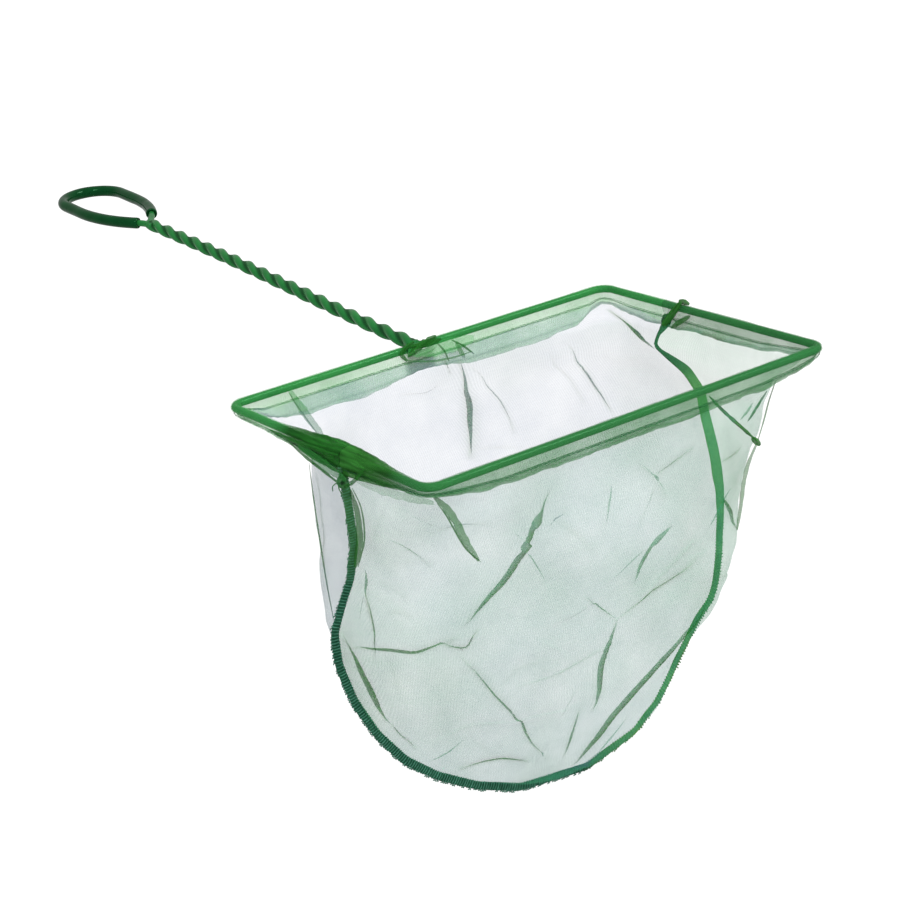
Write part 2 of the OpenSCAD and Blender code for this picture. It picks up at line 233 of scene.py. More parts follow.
class Finish:
    """A material, and what adds nodes to it."""

    def __init__(self, name):
        self.material = bpy.data.materials.new(name)
        self.material.use_nodes = True
        self.tree = self.material.node_tree
        self.tree.nodes.clear()

    def add(self, kind, settings=None, inputs=None, output=0):
        node = add_node(self.tree, "ShaderNode" + kind, settings, inputs)
        return Socket(self.tree, node.outputs[output])

    def place(self, source="Object"):
        return self.add("TexCoord", output=source)

    def noise(self, where, scale, detail=2, rough=0.5):
        return self.add("TexNoise", {}, {
            "Vector": where, "Scale": scale, "Detail": detail, "Roughness": rough})

    def blend(self, share, low, high):
        """A colour between two others."""
        return self.add("Mix", {"data_type": "RGBA"}, {0: share, 6: low, 7: high}, 2)

    def bump(self, height, distance, strength=1.0):
        return self.add("Bump", {}, {"Strength": strength, "Distance": distance, "Height": height})

    def gathered_and_shade(self):
        """What the mesh's attribute of that name says: how bunched the cloth is, with painted shade on one
        side of its creases, how hidden a thread is, and how deep in a valley the vinyl is, for its painted
        shade.
        """
        return self.add("Attribute", {"attribute_name": "gathered_and_shade"}, {}, 2)

    def done(self, surface):
        add_node(self.tree, "ShaderNodeOutputMaterial", {}, {"Surface": surface})
        return self.material

    def solid(self, values):
        return self.done(self.add("BsdfPrincipled", {}, values))


# Materials. Colours are linear red, green and blue

def vinyl_finish(name, dark, light, roughness):
    """Dip-coated vinyl: slow runs of thicker skin and a faint orange peel, with painted shade darkening it
    in the valleys between strands, where it is also duller.
    """
    made = Finish(name)
    where = made.place()
    runs = made.noise(where, 70, 3)
    peel = made.noise(where, 900, 2)
    scuff = made.noise(where, 260, 4, 0.7)
    valley = made.gathered_and_shade()
    # Painted shade: the colour darkens towards a near-black green deep in the valleys between the strands
    colour = made.blend(valley * 0.8, made.blend(runs, dark, light), (0.001, 0.028, 0.006, 1))
    relief = made.bump(runs + peel * 0.12, 0.0006, 0.6)
    return made.solid({
        "Base Color": colour, "Roughness": roughness + scuff * 0.10 + valley * 0.4,
        "Specular IOR Level": 0.5, "Specular Tint": (0.30, 1.0, 0.45, 1), "Normal": relief})


def sleeve_finish():
    """Glossy extruded tube: draw lines along it and a wavy skin."""
    made = Finish("sleeve gloss")
    lines = made.add("Mapping", {}, {"Vector": made.place("UV"), "Scale": (900, 12, 1)})
    draw = made.noise(lines, 1, 2)
    wave = made.noise(made.place(), 120, 2)
    colour = made.blend(wave, (0.0016, 0.038, 0.009, 1), (0.0045, 0.082, 0.020, 1))
    relief = made.bump(wave + draw * 0.04, 0.0006, 0.5)
    return made.solid({
        "Base Color": colour, "Roughness": 0.05 + draw * 0.05, "Specular IOR Level": 0.26,
        "Specular Tint": (0.25, 0.8, 0.40, 1), "Normal": relief})


def steel_finish():
    """Drawn wire."""
    made = Finish("drawn steel")
    where = made.place()
    grain = made.noise(where, 1500, 3, 0.6)
    colour = made.blend(grain, (0.42, 0.43, 0.44, 1), (0.62, 0.63, 0.64, 1))
    return made.solid({
        "Base Color": colour, "Metallic": 1.0, "Roughness": 0.25 + grain * 0.2})


def thread_finish(name, dark, light, cloth_dark, cloth_light):
    """Spun sewing thread, with fine fibres and uneven dye. Where gathered is 1, cloth hides it."""
    made = Finish(name)
    where = made.place()
    fibres = made.noise(where, 4200, 3, 0.7)
    dye = made.noise(where, 420, 3)
    share = fibres * 0.9 + dye * 1.3 - 0.6
    hidden = made.gathered_and_shade()
    colour = made.blend(hidden, made.blend(share, dark, light), made.blend(share, cloth_dark, cloth_light))
    relief = made.bump(fibres, 0.0002, 0.8)
    return made.solid({
        "Base Color": colour, "Roughness": 0.6, "Specular IOR Level": 0.25, "Normal": relief})


# Sheer mesh: the share of one face that is thread, its thickness, and the pitch of its wales and courses
FACE_COVER = 0.142
CLOTH_T = 0.28
WALE_PITCH = 1.4
COURSE_PITCH = 2.2


def shade_of(colour, strength):
    """The same colour, darker or lighter."""
    return tuple(part * strength for part in colour[:3]) + (1,)


def mesh_finish(name, cover, gathered_cover, colour_flat, colour_gathered):
    """Fine knitted mesh. Where gathered is 1 it is bunched, and lets less light through; that value also
    carries painted shade beside creases, and the bunched colour has streaks of painted shade and highlight.
    """
    made = Finish(name)
    where = made.place("UV")
    across = made.add("SeparateXYZ", {}, {0: where}, 0)
    down = made.add("SeparateXYZ", {}, {0: where}, 1)
    wales = (across * (2 * math.pi / (WALE_PITCH * MM))).sine() * 0.5 + 0.5
    courses = (down * (2 * math.pi / (COURSE_PITCH * MM))).sine() * 0.5 + 0.5
    uneven = made.noise(made.place(), 24, 4, 0.6)
    # Painted shade and highlight: streaks along the cloth that darken and lighten its bunched colour
    painted_shading_streaks = made.noise(made.add("Mapping", {}, {"Vector": where, "Scale": (40, 420, 1)}), 1, 3, 0.6)
    knit = wales * 0.24 + courses * 0.04 + uneven * 1.3 + 0.21
    gathered_and_shade = made.gathered_and_shade()
    share = (knit * cover + gathered_and_shade * gathered_cover).at_most(0.97)
    deep = made.blend(painted_shading_streaks * 2.6 - 0.8, shade_of(colour_gathered, 0.5), shade_of(colour_gathered, 1.5))
    colour = made.blend((gathered_and_shade * 2.5).at_most(1.0), colour_flat, deep)
    threads = made.add("BsdfPrincipled", {}, {
        "Base Color": colour, "Roughness": 0.9, "Specular IOR Level": 0.05})
    holes = made.add("BsdfTransparent")
    return made.done(made.add("MixShader", {}, {0: share, 1: holes, 2: threads}))


VINYL = vinyl_finish("dipped vinyl", (0.007, 0.070, 0.018, 1), (0.024, 0.160, 0.048, 1), 0.12)
HANDLE_VINYL = vinyl_finish("handle vinyl", (0.008, 0.125, 0.025, 1), (0.028, 0.290, 0.060, 1), 0.18)
SLEEVE = sleeve_finish()
STEEL = steel_finish()
MESH = mesh_finish("sheer mesh", FACE_COVER, 0.34, (0.11, 0.55, 0.32, 1), (0.026, 0.270, 0.022, 1))
# The back panel's bluish grey is painted shade: a copy of the green mesh as it looks in shade
SHADED_BACK_MESH = mesh_finish("shaded mesh", FACE_COVER, 0.34, (0.20, 0.29, 0.47, 1), (0.026, 0.250, 0.030, 1))
HEM = mesh_finish("hem mesh", 0.24, 0.60, (0.08, 0.43, 0.12, 1), (0.042, 0.235, 0.036, 1))
# The rear hem's thinner cover is real; its lighter, greener colour is painted light, brightening it where
# it faces away from the lamps
LIGHTENED_REAR_HEM = mesh_finish("thin hem mesh with painted light", 0.18, 0.60, (0.11, 0.74, 0.17, 1), (0.028, 0.205, 0.028, 1))
EDGE_THREAD = thread_finish("edge thread", (0.006, 0.070, 0.034, 1), (0.016, 0.140, 0.070, 1),
                            (0.090, 0.340, 0.075, 1), (0.190, 0.500, 0.150, 1))
STITCH_THREAD = thread_finish("stitch thread", (0.008, 0.090, 0.050, 1), (0.130, 0.420, 0.290, 1),
                              (0.060, 0.250, 0.050, 1), (0.110, 0.360, 0.100, 1))
HEM_THREAD = thread_finish("hem thread", (0.005, 0.060, 0.022, 1), (0.016, 0.120, 0.045, 1),
                           (0.005, 0.060, 0.022, 1), (0.016, 0.120, 0.045, 1))


# Mesh making

def new_mesh(name, points, faces):
    mesh = bpy.data.meshes.new(name)
    mesh.from_pydata(np.asarray(points, float).tolist(), [], [list(face) for face in faces])
    mesh.polygons.foreach_set("use_smooth", [True] * len(mesh.polygons))
    return mesh


def vertex_places(mesh):
    places = np.zeros(len(mesh.vertices) * 3)
    mesh.vertices.foreach_get("co", places)
    return places.reshape(-1, 3)


def mark_gathered_and_shade(mesh, values):
    attribute = mesh.attributes.new("gathered_and_shade", "FLOAT", "POINT")
    attribute.data.foreach_set("value", np.asarray(values, np.float32))


def evaluated_mesh(thing):
    """A plain mesh of an object with its modifiers applied."""
    return bpy.data.meshes.new_from_object(thing.evaluated_get(bpy.context.evaluated_depsgraph_get()))


def mesh_piece(name, points, faces, material, replaced, uv=None, values=None):
    """A finished piece: its place is in its mesh, it rides on the net and it stands for CAD nodes."""
    mesh = new_mesh(name, in_row(points), faces)
    mesh.materials.append(material)
    if uv is not None:
        layer = mesh.uv_layers.new(name="cloth")
        corners = np.zeros(len(mesh.loops), np.int32)
        mesh.loops.foreach_get("vertex_index", corners)
        layer.data.foreach_set("uv", (np.asarray(uv)[corners] * MM).ravel())
    if values is not None:
        mark_gathered_and_shade(mesh, values)
    mesh.update()
    return dress(add_object(name, mesh), replaced)


def dress(piece, replaced):
    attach(piece, "root")
    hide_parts(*replaced)
    return piece


def grid_faces(rows, columns, closed):
    """Quads of a grid of points, whose columns may close on themselves."""
    wide = columns if closed else columns - 1
    return [(i * columns + j, i * columns + (j + 1) % columns,
             (i + 1) * columns + (j + 1) % columns, (i + 1) * columns + j)
            for i in range(rows - 1) for j in range(wide)]


def end_caps(rows, columns):
    """The faces that close both ends of a tube made of rings."""
    return [tuple(range(columns))[::-1], tuple((rows - 1) * columns + i for i in range(columns))]


def frames_along(path, up):
    """Side and top of each point of a path, turned as little as possible from one to the next."""
    tangent = unit(np.gradient(path, axis=0))
    side = np.zeros_like(path)
    side[0] = unit(np.cross(up, tangent[0]))
    for k in range(1, len(path)):
        side[k] = unit(side[k - 1] - tangent[k] * (side[k - 1] @ tangent[k]))
    return side, np.cross(tangent, side)


def tube(path, radius, sides, up=(0, 0, 1)):
    """Rings of a round tube along a path. Radius is one number or one for each point."""
    path = np.asarray(path, float)
    radius = np.broadcast_to(radius, len(path))[:, None, None]
    side, top = frames_along(path, np.array(up, float))
    turn = full_turn(sides)[None, :, None]
    rings = path[:, None] + radius * (side[:, None] * np.cos(turn) + top[:, None] * np.sin(turn))
    return rings.reshape(-1, 3), grid_faces(len(path), sides, True) + end_caps(len(path), sides)


def join(parts):
    """Several lists of points and faces as one."""
    points, faces, first = [], [], 0
    for more_points, more_faces in parts:
        points.append(more_points)
        faces += [tuple(first + i for i in face) for face in more_faces]
        first += len(more_points)
    return np.concatenate(points), faces


def resample(path, count):
    """The same line with evenly spaced points, and its length."""
    path = np.asarray(path, float)
    run = np.r_[0, np.cumsum(np.linalg.norm(np.diff(path, axis=0), axis=1))]
    at = np.linspace(0, run[-1], count)
    return np.stack([np.interp(at, run, path[:, k]) for k in range(path.shape[1])], 1), run[-1]


def arc(centre, radius, start, end, count):
    """Points of a level arc, from one angle to another in degrees."""
    turn = np.radians(np.linspace(start, end, count))
    return np.stack([centre[0] + radius * np.cos(turn), centre[1] + radius * np.sin(turn)], 1)


def outline_of(name, points, faces, voxel, smoothing):
    """One smooth skin round overlapping closed shapes, in hoop millimetres."""
    mesh = new_mesh(name, points, faces)
    rough = add_object(name, mesh)
    skin = rough.modifiers.new("skin", "REMESH")
    skin.mode, skin.voxel_size = "VOXEL", voxel
    smooth = rough.modifiers.new("smooth", "SMOOTH")
    smooth.factor, smooth.iterations = 0.5, smoothing
    made = evaluated_mesh(rough)
    places, polygons = vertex_places(made), [tuple(polygon.vertices) for polygon in made.polygons]
    bpy.data.objects.remove(rough)
    bpy.data.meshes.remove(made)
    bpy.data.meshes.remove(mesh)
    return places, polygons


# Wire and its coating

# Where the handle's foot stands on the rear rail, and the share of the handle over which it straightens
FORK_PLACE = -6
LEAN_SHARE = 0.8


def lean(along):
    """How far to the side the handle's axis is."""
    return FORK_PLACE * (1 - ramp(along, FORK_R, TWIST_LEN * LEAN_SHARE))


def rim_line():
    """The hoop's centre line, from the middle of its left side round by the front, and its length."""
    x, y = HALF_W - CORNER_R, HALF_D - CORNER_R
    steps = 16
    corners = [arc((-x, -y), CORNER_R, 180, 270, steps), arc((x, -y), CORNER_R, 270, 360, steps),
               arc((x, y), CORNER_R, 0, 90, steps), arc((-x, y), CORNER_R, 90, 180, steps)]
    start = np.array([[-HALF_W, 0]])
    return resample(np.concatenate([start, *corners, start]), 4000)


RIM, RIM_LEN = rim_line()
RIM_AT = np.linspace(0, RIM_LEN, len(RIM))


def rim_place(x, y):
    """How far round the hoop a place is."""
    return RIM_AT[np.argmin(np.hypot(RIM[:, 0] - x, RIM[:, 1] - y))]


def rim(at):
    """Centre line and outward way of the hoop at distances round it."""
    at = np.asarray(at, float) % RIM_LEN
    place = np.stack([np.interp(at, RIM_AT, RIM[:, k]) for k in (0, 1)], -1)
    ahead = np.stack([np.interp((at + 0.5) % RIM_LEN, RIM_AT, RIM[:, k]) for k in (0, 1)], -1)
    along = unit(ahead - place)
    return place, -left_of(along)


# Where the seam ends on the two short sides, towards the handle from the middle
LEFT_END_Y = -21
RIGHT_END_Y = 35
LEFT_TACK = rim_place(-HALF_W, LEFT_END_Y)
RIGHT_TACK = rim_place(HALF_W, RIGHT_END_Y)


# How much the coating's radius varies
SKIN_UNEVEN = 0.06


def make_hoop_skin():
    """The coating of the rectangle, from one side of the fork round to the other."""
    start = rim_place(FORK_PLACE - FORK_X, HALF_D)
    end = rim_place(FORK_PLACE + FORK_X, HALF_D) + RIM_LEN
    at = np.linspace(start, end, 620)
    path = np.c_[rim(at)[0], np.zeros(len(at))]
    points, faces = tube(path, COAT_R + SKIN_UNEVEN * ripple_row(at * 0.05, 3.1), 24)
    mesh_piece("hoop_skin", points, faces, VINYL, ["hoop_coating"])


def twist_rings(count):
    """Rings round both coated strands as they turn about each other."""
    along = np.linspace(FORK_R, FORK_R + TWIST_LEN, count)
    turn = 2 * math.pi * TWIST_TURNS * (along - FORK_R) / TWIST_LEN
    angle = full_turn(40)
    waist = 0.04
    reach = STRAND_X * np.sqrt(np.cos(angle) ** 2 + waist)
    radius = reach + np.sqrt(STRAND_COAT_R ** 2 - (STRAND_X * np.sin(angle)) ** 2)
    across, up = radius * np.cos(angle), radius * np.sin(angle)
    rings = np.stack([
        np.outer(np.cos(turn), across) + np.outer(np.sin(turn), up) + lean(along)[:, None],
        np.repeat(along[:, None], len(angle), 1),
        np.outer(np.cos(turn), up) - np.outer(np.sin(turn), across)], 2)
    faces = grid_faces(count, len(angle), True) + end_caps(count, len(angle))
    return in_handle(rings.reshape(-1, 3)), faces


BOW_R = (LOOP_R - STRAND_X) / (1 - math.cos(LOOP_ANGLE)) - NECK_R
NECK_Y = FORK_R + TWIST_LEN
BOW_Y = NECK_Y + (BOW_R + NECK_R) * math.sin(LOOP_ANGLE)
LOOP_Y = BOW_Y + STRAIGHT_LEN


def bow_line(start, end, count):
    """Part of the bow of the loop's right side, between two lengths after its neck bend."""
    return arc((LOOP_R - BOW_R, BOW_Y), BOW_R, math.degrees(start / BOW_R - LOOP_ANGLE),
               math.degrees(end / BOW_R - LOOP_ANGLE), count)


def half_loop(start):
    """The loop's right half, from a given length after its neck bend to the middle of its round end."""
    return np.concatenate([bow_line(start, BOW_R * LOOP_ANGLE, 40), arc((0, LOOP_Y), LOOP_R, 0, 90, 45)])


def loop_line(left_start, right_start):
    """Centre line of the grip loop, from its right side round to its left."""
    left = half_loop(left_start) * [-1, 1]
    return np.concatenate([half_loop(right_start), left[::-1][1:]])


def neck_line(side, beyond):
    """Centre line of the bend that takes one strand from the twist into the loop, and some of the bow."""
    bend = arc((STRAND_X + NECK_R, NECK_Y), NECK_R, 180, 180 - math.degrees(LOOP_ANGLE), 12)
    return np.concatenate([bend, bow_line(0, beyond, 12)[1:]]) * [side, 1]


def level(path):
    """A handle-plane line as hoop millimetres."""
    return in_handle(np.c_[path, np.zeros(len(path))])


# From the handle's axis, where the valley of painted shade begins and how far in it is deepest
VALLEY_SHADE_R = 3.5
VALLEY_SHADE_RUN = 1.2


def valley_shade_share(points):
    """How deep in the valley between the two strands each place of the handle's skin is, which sets the
    vinyl's painted shade.
    """
    across, back = points[:, 0], points[:, 1] - HALF_D
    along = back * math.cos(RISE) + points[:, 2] * math.sin(RISE)
    up = points[:, 2] * math.cos(RISE) - back * math.sin(RISE)
    from_axis = np.hypot(across - lean(along), up)
    twisted = (along > FORK_R) & (along < NECK_Y)
    return ease((VALLEY_SHADE_R - from_axis) / VALLEY_SHADE_RUN) * twisted


# Vinyl that has run along the rail under the fork, and into the crotches of the fork and of the neck: place
# in the plane of the loop, and radius
WEB_Y, WEB_R = 0.6, 1.75
RUNS = [((FORK_PLACE, 3.5), 2.6), ((0, NECK_Y + 1), 2.5), ((0, NECK_Y + 4), 1.8)]
# The skin is this much fuller than the hoop's, its outline is found in cells of this size, then smoothed
SKIN_MORE = 0.05
SKIN_CELL = 0.36
SKIN_SMOOTHING = 5


def make_handle_skin():
    """One dipped skin over the twist, the fork at its foot and the neck of the loop."""
    parts = [twist_rings(760)]

    def add_run(line, radius):
        parts.append(tube(level(line), radius, 20))

    for side in (-1, 1):
        fork = arc((FORK_X, FORK_R), FORK_R, 270, 180, 24) * [side, 1] + [FORK_PLACE, 0]
        lead = np.linspace([FORK_PLACE + side * (FORK_X + 3), 0], fork[0], 6)[:-1]
        run = np.linspace(fork[-1], fork[-1] + [0, 5], 5)[1:]
        add_run(np.concatenate([lead, fork, run]), COAT_R + SKIN_MORE)
    for side, cut in ((-1, LEFT_CUT), (1, RIGHT_CUT)):
        neck = neck_line(side, cut + 4)
        before = np.linspace(neck[0] - [0, 5], neck[0], 5)[:-1]
        add_run(np.concatenate([before, neck]), COAT_R + SKIN_MORE)
    add_run(np.linspace([FORK_PLACE - FORK_X - 1, WEB_Y], [FORK_PLACE + FORK_X + 1, WEB_Y], 9), WEB_R)
    for centre, reach in RUNS:
        add_run(np.linspace(np.array(centre) - [0, 1.5], np.array(centre) + [0, 1.5], 9),
                reach * np.sqrt(np.sin(np.linspace(0.25, math.pi - 0.25, 9))))
    points, faces = outline_of("handle_skin", *join(parts), SKIN_CELL, SKIN_SMOOTHING)
    mesh_piece("handle_skin", points, faces, HANDLE_VINYL,
               ["fork_coating", "left_strand_coating", "right_strand_coating", "neck_coating"],
               values=valley_shade_share(points))


def make_loop_skin():
    """The vinyl on the loop's wire, most of it inside the sleeve."""
    points, faces = tube(level(loop_line(0, 0)), COAT_R, 20)
    mesh_piece("loop_skin", points, faces, HANDLE_VINYL, ["loop_coating"])


def make_grip_sleeve():
    """The glossy tube on the loop, with its wall and two cut ends."""
    path, length = resample(level(loop_line(LEFT_CUT, RIGHT_CUT)), 170)
    sides = 32
    side, top = frames_along(path, np.array([0, 0, 1]))
    turn = full_turn(sides)[None, :, None]
    swell = ripple_row(np.arange(len(path)) * 0.11, 7.7)
    around = np.cos(turn) * side[:, None], np.sin(turn) * top[:, None]

    def rings(radius):
        radius = np.asarray(radius)[:, None, None]
        return path[:, None] + radius * (around[0] * 1.02 + around[1] * 0.98)

    outer_r = np.full(len(path), SLEEVE_R) + swell * 0.08
    outer_r[[0, -1]] -= 0.25
    inner_r = np.full(len(path), SLEEVE_R - SLEEVE_WALL)
    inner_r[[0, -1]] += 0.1
    outer, inner = rings(outer_r), rings(inner_r)
    count = len(path) * sides
    faces = grid_faces(len(path), sides, True)
    faces += [tuple(count + i for i in face[::-1]) for face in grid_faces(len(path), sides, True)]
    for row, turned in ((0, True), (len(path) - 1, False)):
        for i in range(sides):
            a, b = row * sides + i, row * sides + (i + 1) % sides
            face = (a, b, count + b, count + a)
            faces.append(face if not turned else face[::-1])
    points = np.concatenate([outer.reshape(-1, 3), inner.reshape(-1, 3)])
    around_at = np.tile(np.arange(sides) / sides * 2 * math.pi * SLEEVE_R, len(path))
    along_at = np.repeat(np.linspace(0, length, len(path)), sides)
    uv = np.tile(np.stack([around_at, along_at], 1), (2, 1))
    mesh_piece("grip_tube", points, faces, SLEEVE, ["grip_sleeve"], uv)


# Bag

# The U seam: depth below the hoop, then place across the bag and towards the handle, down each side
LEFT_SEAM = [
    (0, -127, -21), (12, -127, -20), (31, -124.5, -17), (53, -120.5, -11), (74, -121, -4), (89, -126, 0),
    (103, -130, 3), (121, -129, 4), (143, -123, 4), (166, -112, 4), (187, -97, 4), (204, -78, 4),
    (220, -53, 4), (232, -26, 4), (238, 20, 4),
]
RIGHT_SEAM = [
    (0, 127, 35), (9, 127, 35), (14, 120, 34), (21, 114, 33), (31, 123, 31), (42, 132, 27),
    (54, 135, 22), (67, 133, 17), (84, 132, 11), (106, 130, 5), (124, 129, 4), (147, 126, 4),
    (161, 123, 4), (169, 119, 4), (178, 108, 4), (188, 99, 4), (204, 86, 4), (218, 74, 4), (230, 56, 4),
    (238, 20, 4),
]
# Depth of a section, then how far the front and the back panel stand from the middle of the hoop
SWELL = [
    (0, 89, 89), (12, 86, 86), (40, 80, 80), (80, 74, 74), (120, 66, 62), (160, 52, 48), (190, 38, 36),
    (215, 24, 22), (230, 11, 10), (238, 0, 0),
]
# Depth of a section, then how square the front and the back panel are: 2 is an ellipse, less is pointed
SQUARENESS = [
    (0, 10, 8), (8, 5.2, 3), (12, 5.2, 2.5), (25, 4.9, 2.4), (40, 3.5, 2.8), (60, 2.5, 2.9),
    (80, 2.1, 2.7), (100, 2, 2), (120, 2, 1.6), (140, 1.8, 1.5), (170, 1.5, 1.4), (238, 1.4, 1.4),
]
# Depth at which the sections leave the hoop's rectangle, and how soon they have left it
LEAVE_DEPTH = 3
LEAVE_RUN = 12
# Beside the seam the cloth stands wider than the seam itself: by how much this narrows with depth, and how
# much of the section's length it takes to come in to the seam
SHOULDER_SLOPE = 0.09
SHOULDER_SHARE = 0.06
SHOULDER_DEPTH = 90
# How far the hem hangs below the wire at places on the hoop
HEM_DROPS = [
    (-127, -21, 9.5), (-127, -50, 8), (-127, -75, 6), (-124, -89, 5.5), (-110, -89, 8.5), (-85, -89, 12),
    (85, -89, 12), (108, -89, 9), (124, -89, 4.5), (127, -70, 8), (127, -40, 12), (127, 35, 13),
    (127, 65, 12), (124, 89, 9), (105, 89, 17), (80, 89, 20), (25, 89, 18), (6, 89, 14.5),
    (-8, 89, 14.5), (-16, 89, 15.5), (-30, 89, 17.5), (-80, 89, 19), (-105, 89, 13), (-124, 89, 4.5),
    (-127, 40, 7),
]
# The hem is stitched this far below the wire, or at this share of its drop where that is less
STITCH_DEPTH = 7.5
STITCH_SHARE = 0.62
# How far outside the wire's centre line the panels hang from it
HANG_OUT = 0.6
# A panel's grid
ROWS = 170
COLUMNS = 260


def table_at(table, depth, column):
    table = np.array(table, float)
    return np.interp(depth, table[:, 0], table[:, column])


def hem_drop(at):
    """How far the hem hangs below the wire at distances round the hoop."""
    table = np.array(sorted((rim_place(x, y), drop) for x, y, drop in HEM_DROPS))
    return np.interp(at, table[:, 0], table[:, 1], period=RIM_LEN)


def stitch_depth(at):
    """How far below the wire the hem is stitched."""
    return np.minimum(STITCH_DEPTH, hem_drop(at) * STITCH_SHARE)


def panel_places(front):
    """Distances round the hoop of a panel's top edge, from its left end to its right end."""
    if front:
        return np.linspace(LEFT_TACK, RIGHT_TACK, COLUMNS)
    return np.linspace(LEFT_TACK + RIM_LEN, RIGHT_TACK, COLUMNS)


def bag_grid(front):
    """The panel's smooth shape as rows of points from the hem down to the lowest point of the seam."""
    way = -1 if front else 1
    at = panel_places(front)
    place, out = rim(at)
    top_path = place + out * HANG_OUT
    hem = stitch_depth(at)
    turn = np.linspace(0, math.pi, 241)
    near_end = np.minimum(np.arange(COLUMNS), np.arange(COLUMNS)[::-1]) / COLUMNS
    pull = np.exp(-(near_end / SHOULDER_SHARE) ** 2)[:, None]
    across_row = np.linspace(0, 1, COLUMNS)[:, None]
    rows = []
    for step in np.linspace(0, 1, ROWS):
        depth = STITCH_DEPTH + (BAG_DEPTH - STITCH_DEPTH) * math.sin(step * math.pi / 2)
        seams = [np.array([table_at(table, depth, 1), table_at(table, depth, 2)])
                 for table in (LEFT_SEAM, RIGHT_SEAM)]
        left, right = seams
        if depth < SHOULDER_DEPTH:
            shoulder = HALF_W - SHOULDER_SLOPE * depth
            left = np.array([-max(-left[0], shoulder), left[1]])
            right = np.array([max(right[0], shoulder), right[1]])
        bulge = table_at(SWELL, depth, 1 if front else 2)
        power = 2 / table_at(SQUARENESS, depth, 1 if front else 2)
        across = (1 - np.sign(np.cos(turn)) * np.abs(np.cos(turn)) ** power) / 2
        path = mix(left, right, across[:, None])
        path[:, 1] = mix(path[:, 1], way * bulge, np.sin(turn) ** power)
        path, _ = resample(path, COLUMNS)
        path += mix(seams[0] - left, seams[1] - right, across_row) * pull
        hung = top_path + mix(seams[0] - top_path[0], seams[1] - top_path[-1], across_row) * pull
        path = mix(hung, path, ramp(depth, LEAVE_DEPTH, LEAVE_RUN))
        path[:, 1] = np.clip(path[:, 1], -HALF_D - HANG_OUT, HALF_D + HANG_OUT)
        sink = (depth - STITCH_DEPTH) / (BAG_DEPTH - STITCH_DEPTH)
        rows.append(np.c_[path, -mix(hem, BAG_DEPTH, sink)])
    return np.array(rows)


class Panel:
    """A mesh panel: its smooth shape, and the flat cloth that is laid on it."""

    def __init__(self, front):
        self.front = front
        self.grid = bag_grid(front)
        self.way = -1 if front else 1
        run = np.linalg.norm(np.diff(self.grid, axis=1), axis=2)
        self.width = run.sum(1)
        drop = np.linalg.norm(np.diff(self.grid, axis=0), axis=2)
        middle = slice(COLUMNS // 4, 3 * COLUMNS // 4)
        self.down = np.r_[0, np.cumsum(drop[:, middle].mean(1))]
        self.normals = self.grid_normals()
        self.tree = self.ray_tree()

    def grid_normals(self):
        along = np.gradient(self.grid, axis=1)
        down = np.gradient(self.grid, axis=0)
        normal = unit(np.cross(down, along))
        return normal if self.front else -normal

    def ray_tree(self):
        quads = grid_faces(ROWS, COLUMNS, False)
        return BVHTree.FromPolygons(self.grid.reshape(-1, 3).tolist(), quads)

    def sample(self, table, flat):
        """A table on the grid, read at flat cloth places by blending the four around each."""
        row = np.interp(flat[:, 1], self.down, np.arange(ROWS))
        wide = np.interp(flat[:, 1], self.down, self.width)
        column = np.clip((flat[:, 0] / np.maximum(wide, 1e-6) + 0.5) * (COLUMNS - 1), 0, COLUMNS - 1)
        i = np.clip(row.astype(int), 0, ROWS - 2)
        j = np.clip(column.astype(int), 0, COLUMNS - 2)
        a, b = (row - i)[:, None], (column - j)[:, None]
        return mix(mix(table[i, j], table[i, j + 1], b), mix(table[i + 1, j], table[i + 1, j + 1], b), a)

    def flat_places(self, pixels, far):
        """Where pixels of the photograph fall on the flat cloth. Far takes the last layer behind them."""
        found = []
        for pixel in pixels:
            way = pixel_ray(pixel)
            start, hits = EYE, []
            for _ in range(6):
                hit, _, index, _ = self.tree.ray_cast(Vector(start), Vector(way))
                if hit is None:
                    break
                hits.append((np.array(hit), index))
                start = np.array(hit) + way * 0.05
            if hits:
                hit, index = hits[-1 if far else 0]
                found.append(self.flat_at(hit, index))
        return np.array(found)

    def flat_at(self, hit, index):
        i, j = divmod(index, COLUMNS - 1)
        corner, right, below = self.grid[i, j], self.grid[i, j + 1], self.grid[i + 1, j]
        b, a = (np.clip((hit - corner) @ way / max(way @ way, 1e-9), 0, 1)
                for way in (right - corner, below - corner))
        wide = mix(self.width[i], self.width[i + 1], a)
        return ((j + b) / (COLUMNS - 1) - 0.5) * wide, mix(self.down[i], self.down[i + 1], a)

    def outline(self, step):
        """The flat cloth's edge: along the hem, then round the U."""
        top = np.linspace(-0.5, 0.5, int(self.width[0] / step)) * self.width[0]
        hem = np.c_[top, np.zeros(len(top))]
        right = np.c_[self.width / 2, self.down]
        left = right * [-1, 1]
        around, _ = resample(np.concatenate([right, left[::-1][1:]]), int(2 * self.down[-1] / step * 1.2))
        return np.concatenate([hem, around[1:-1]])
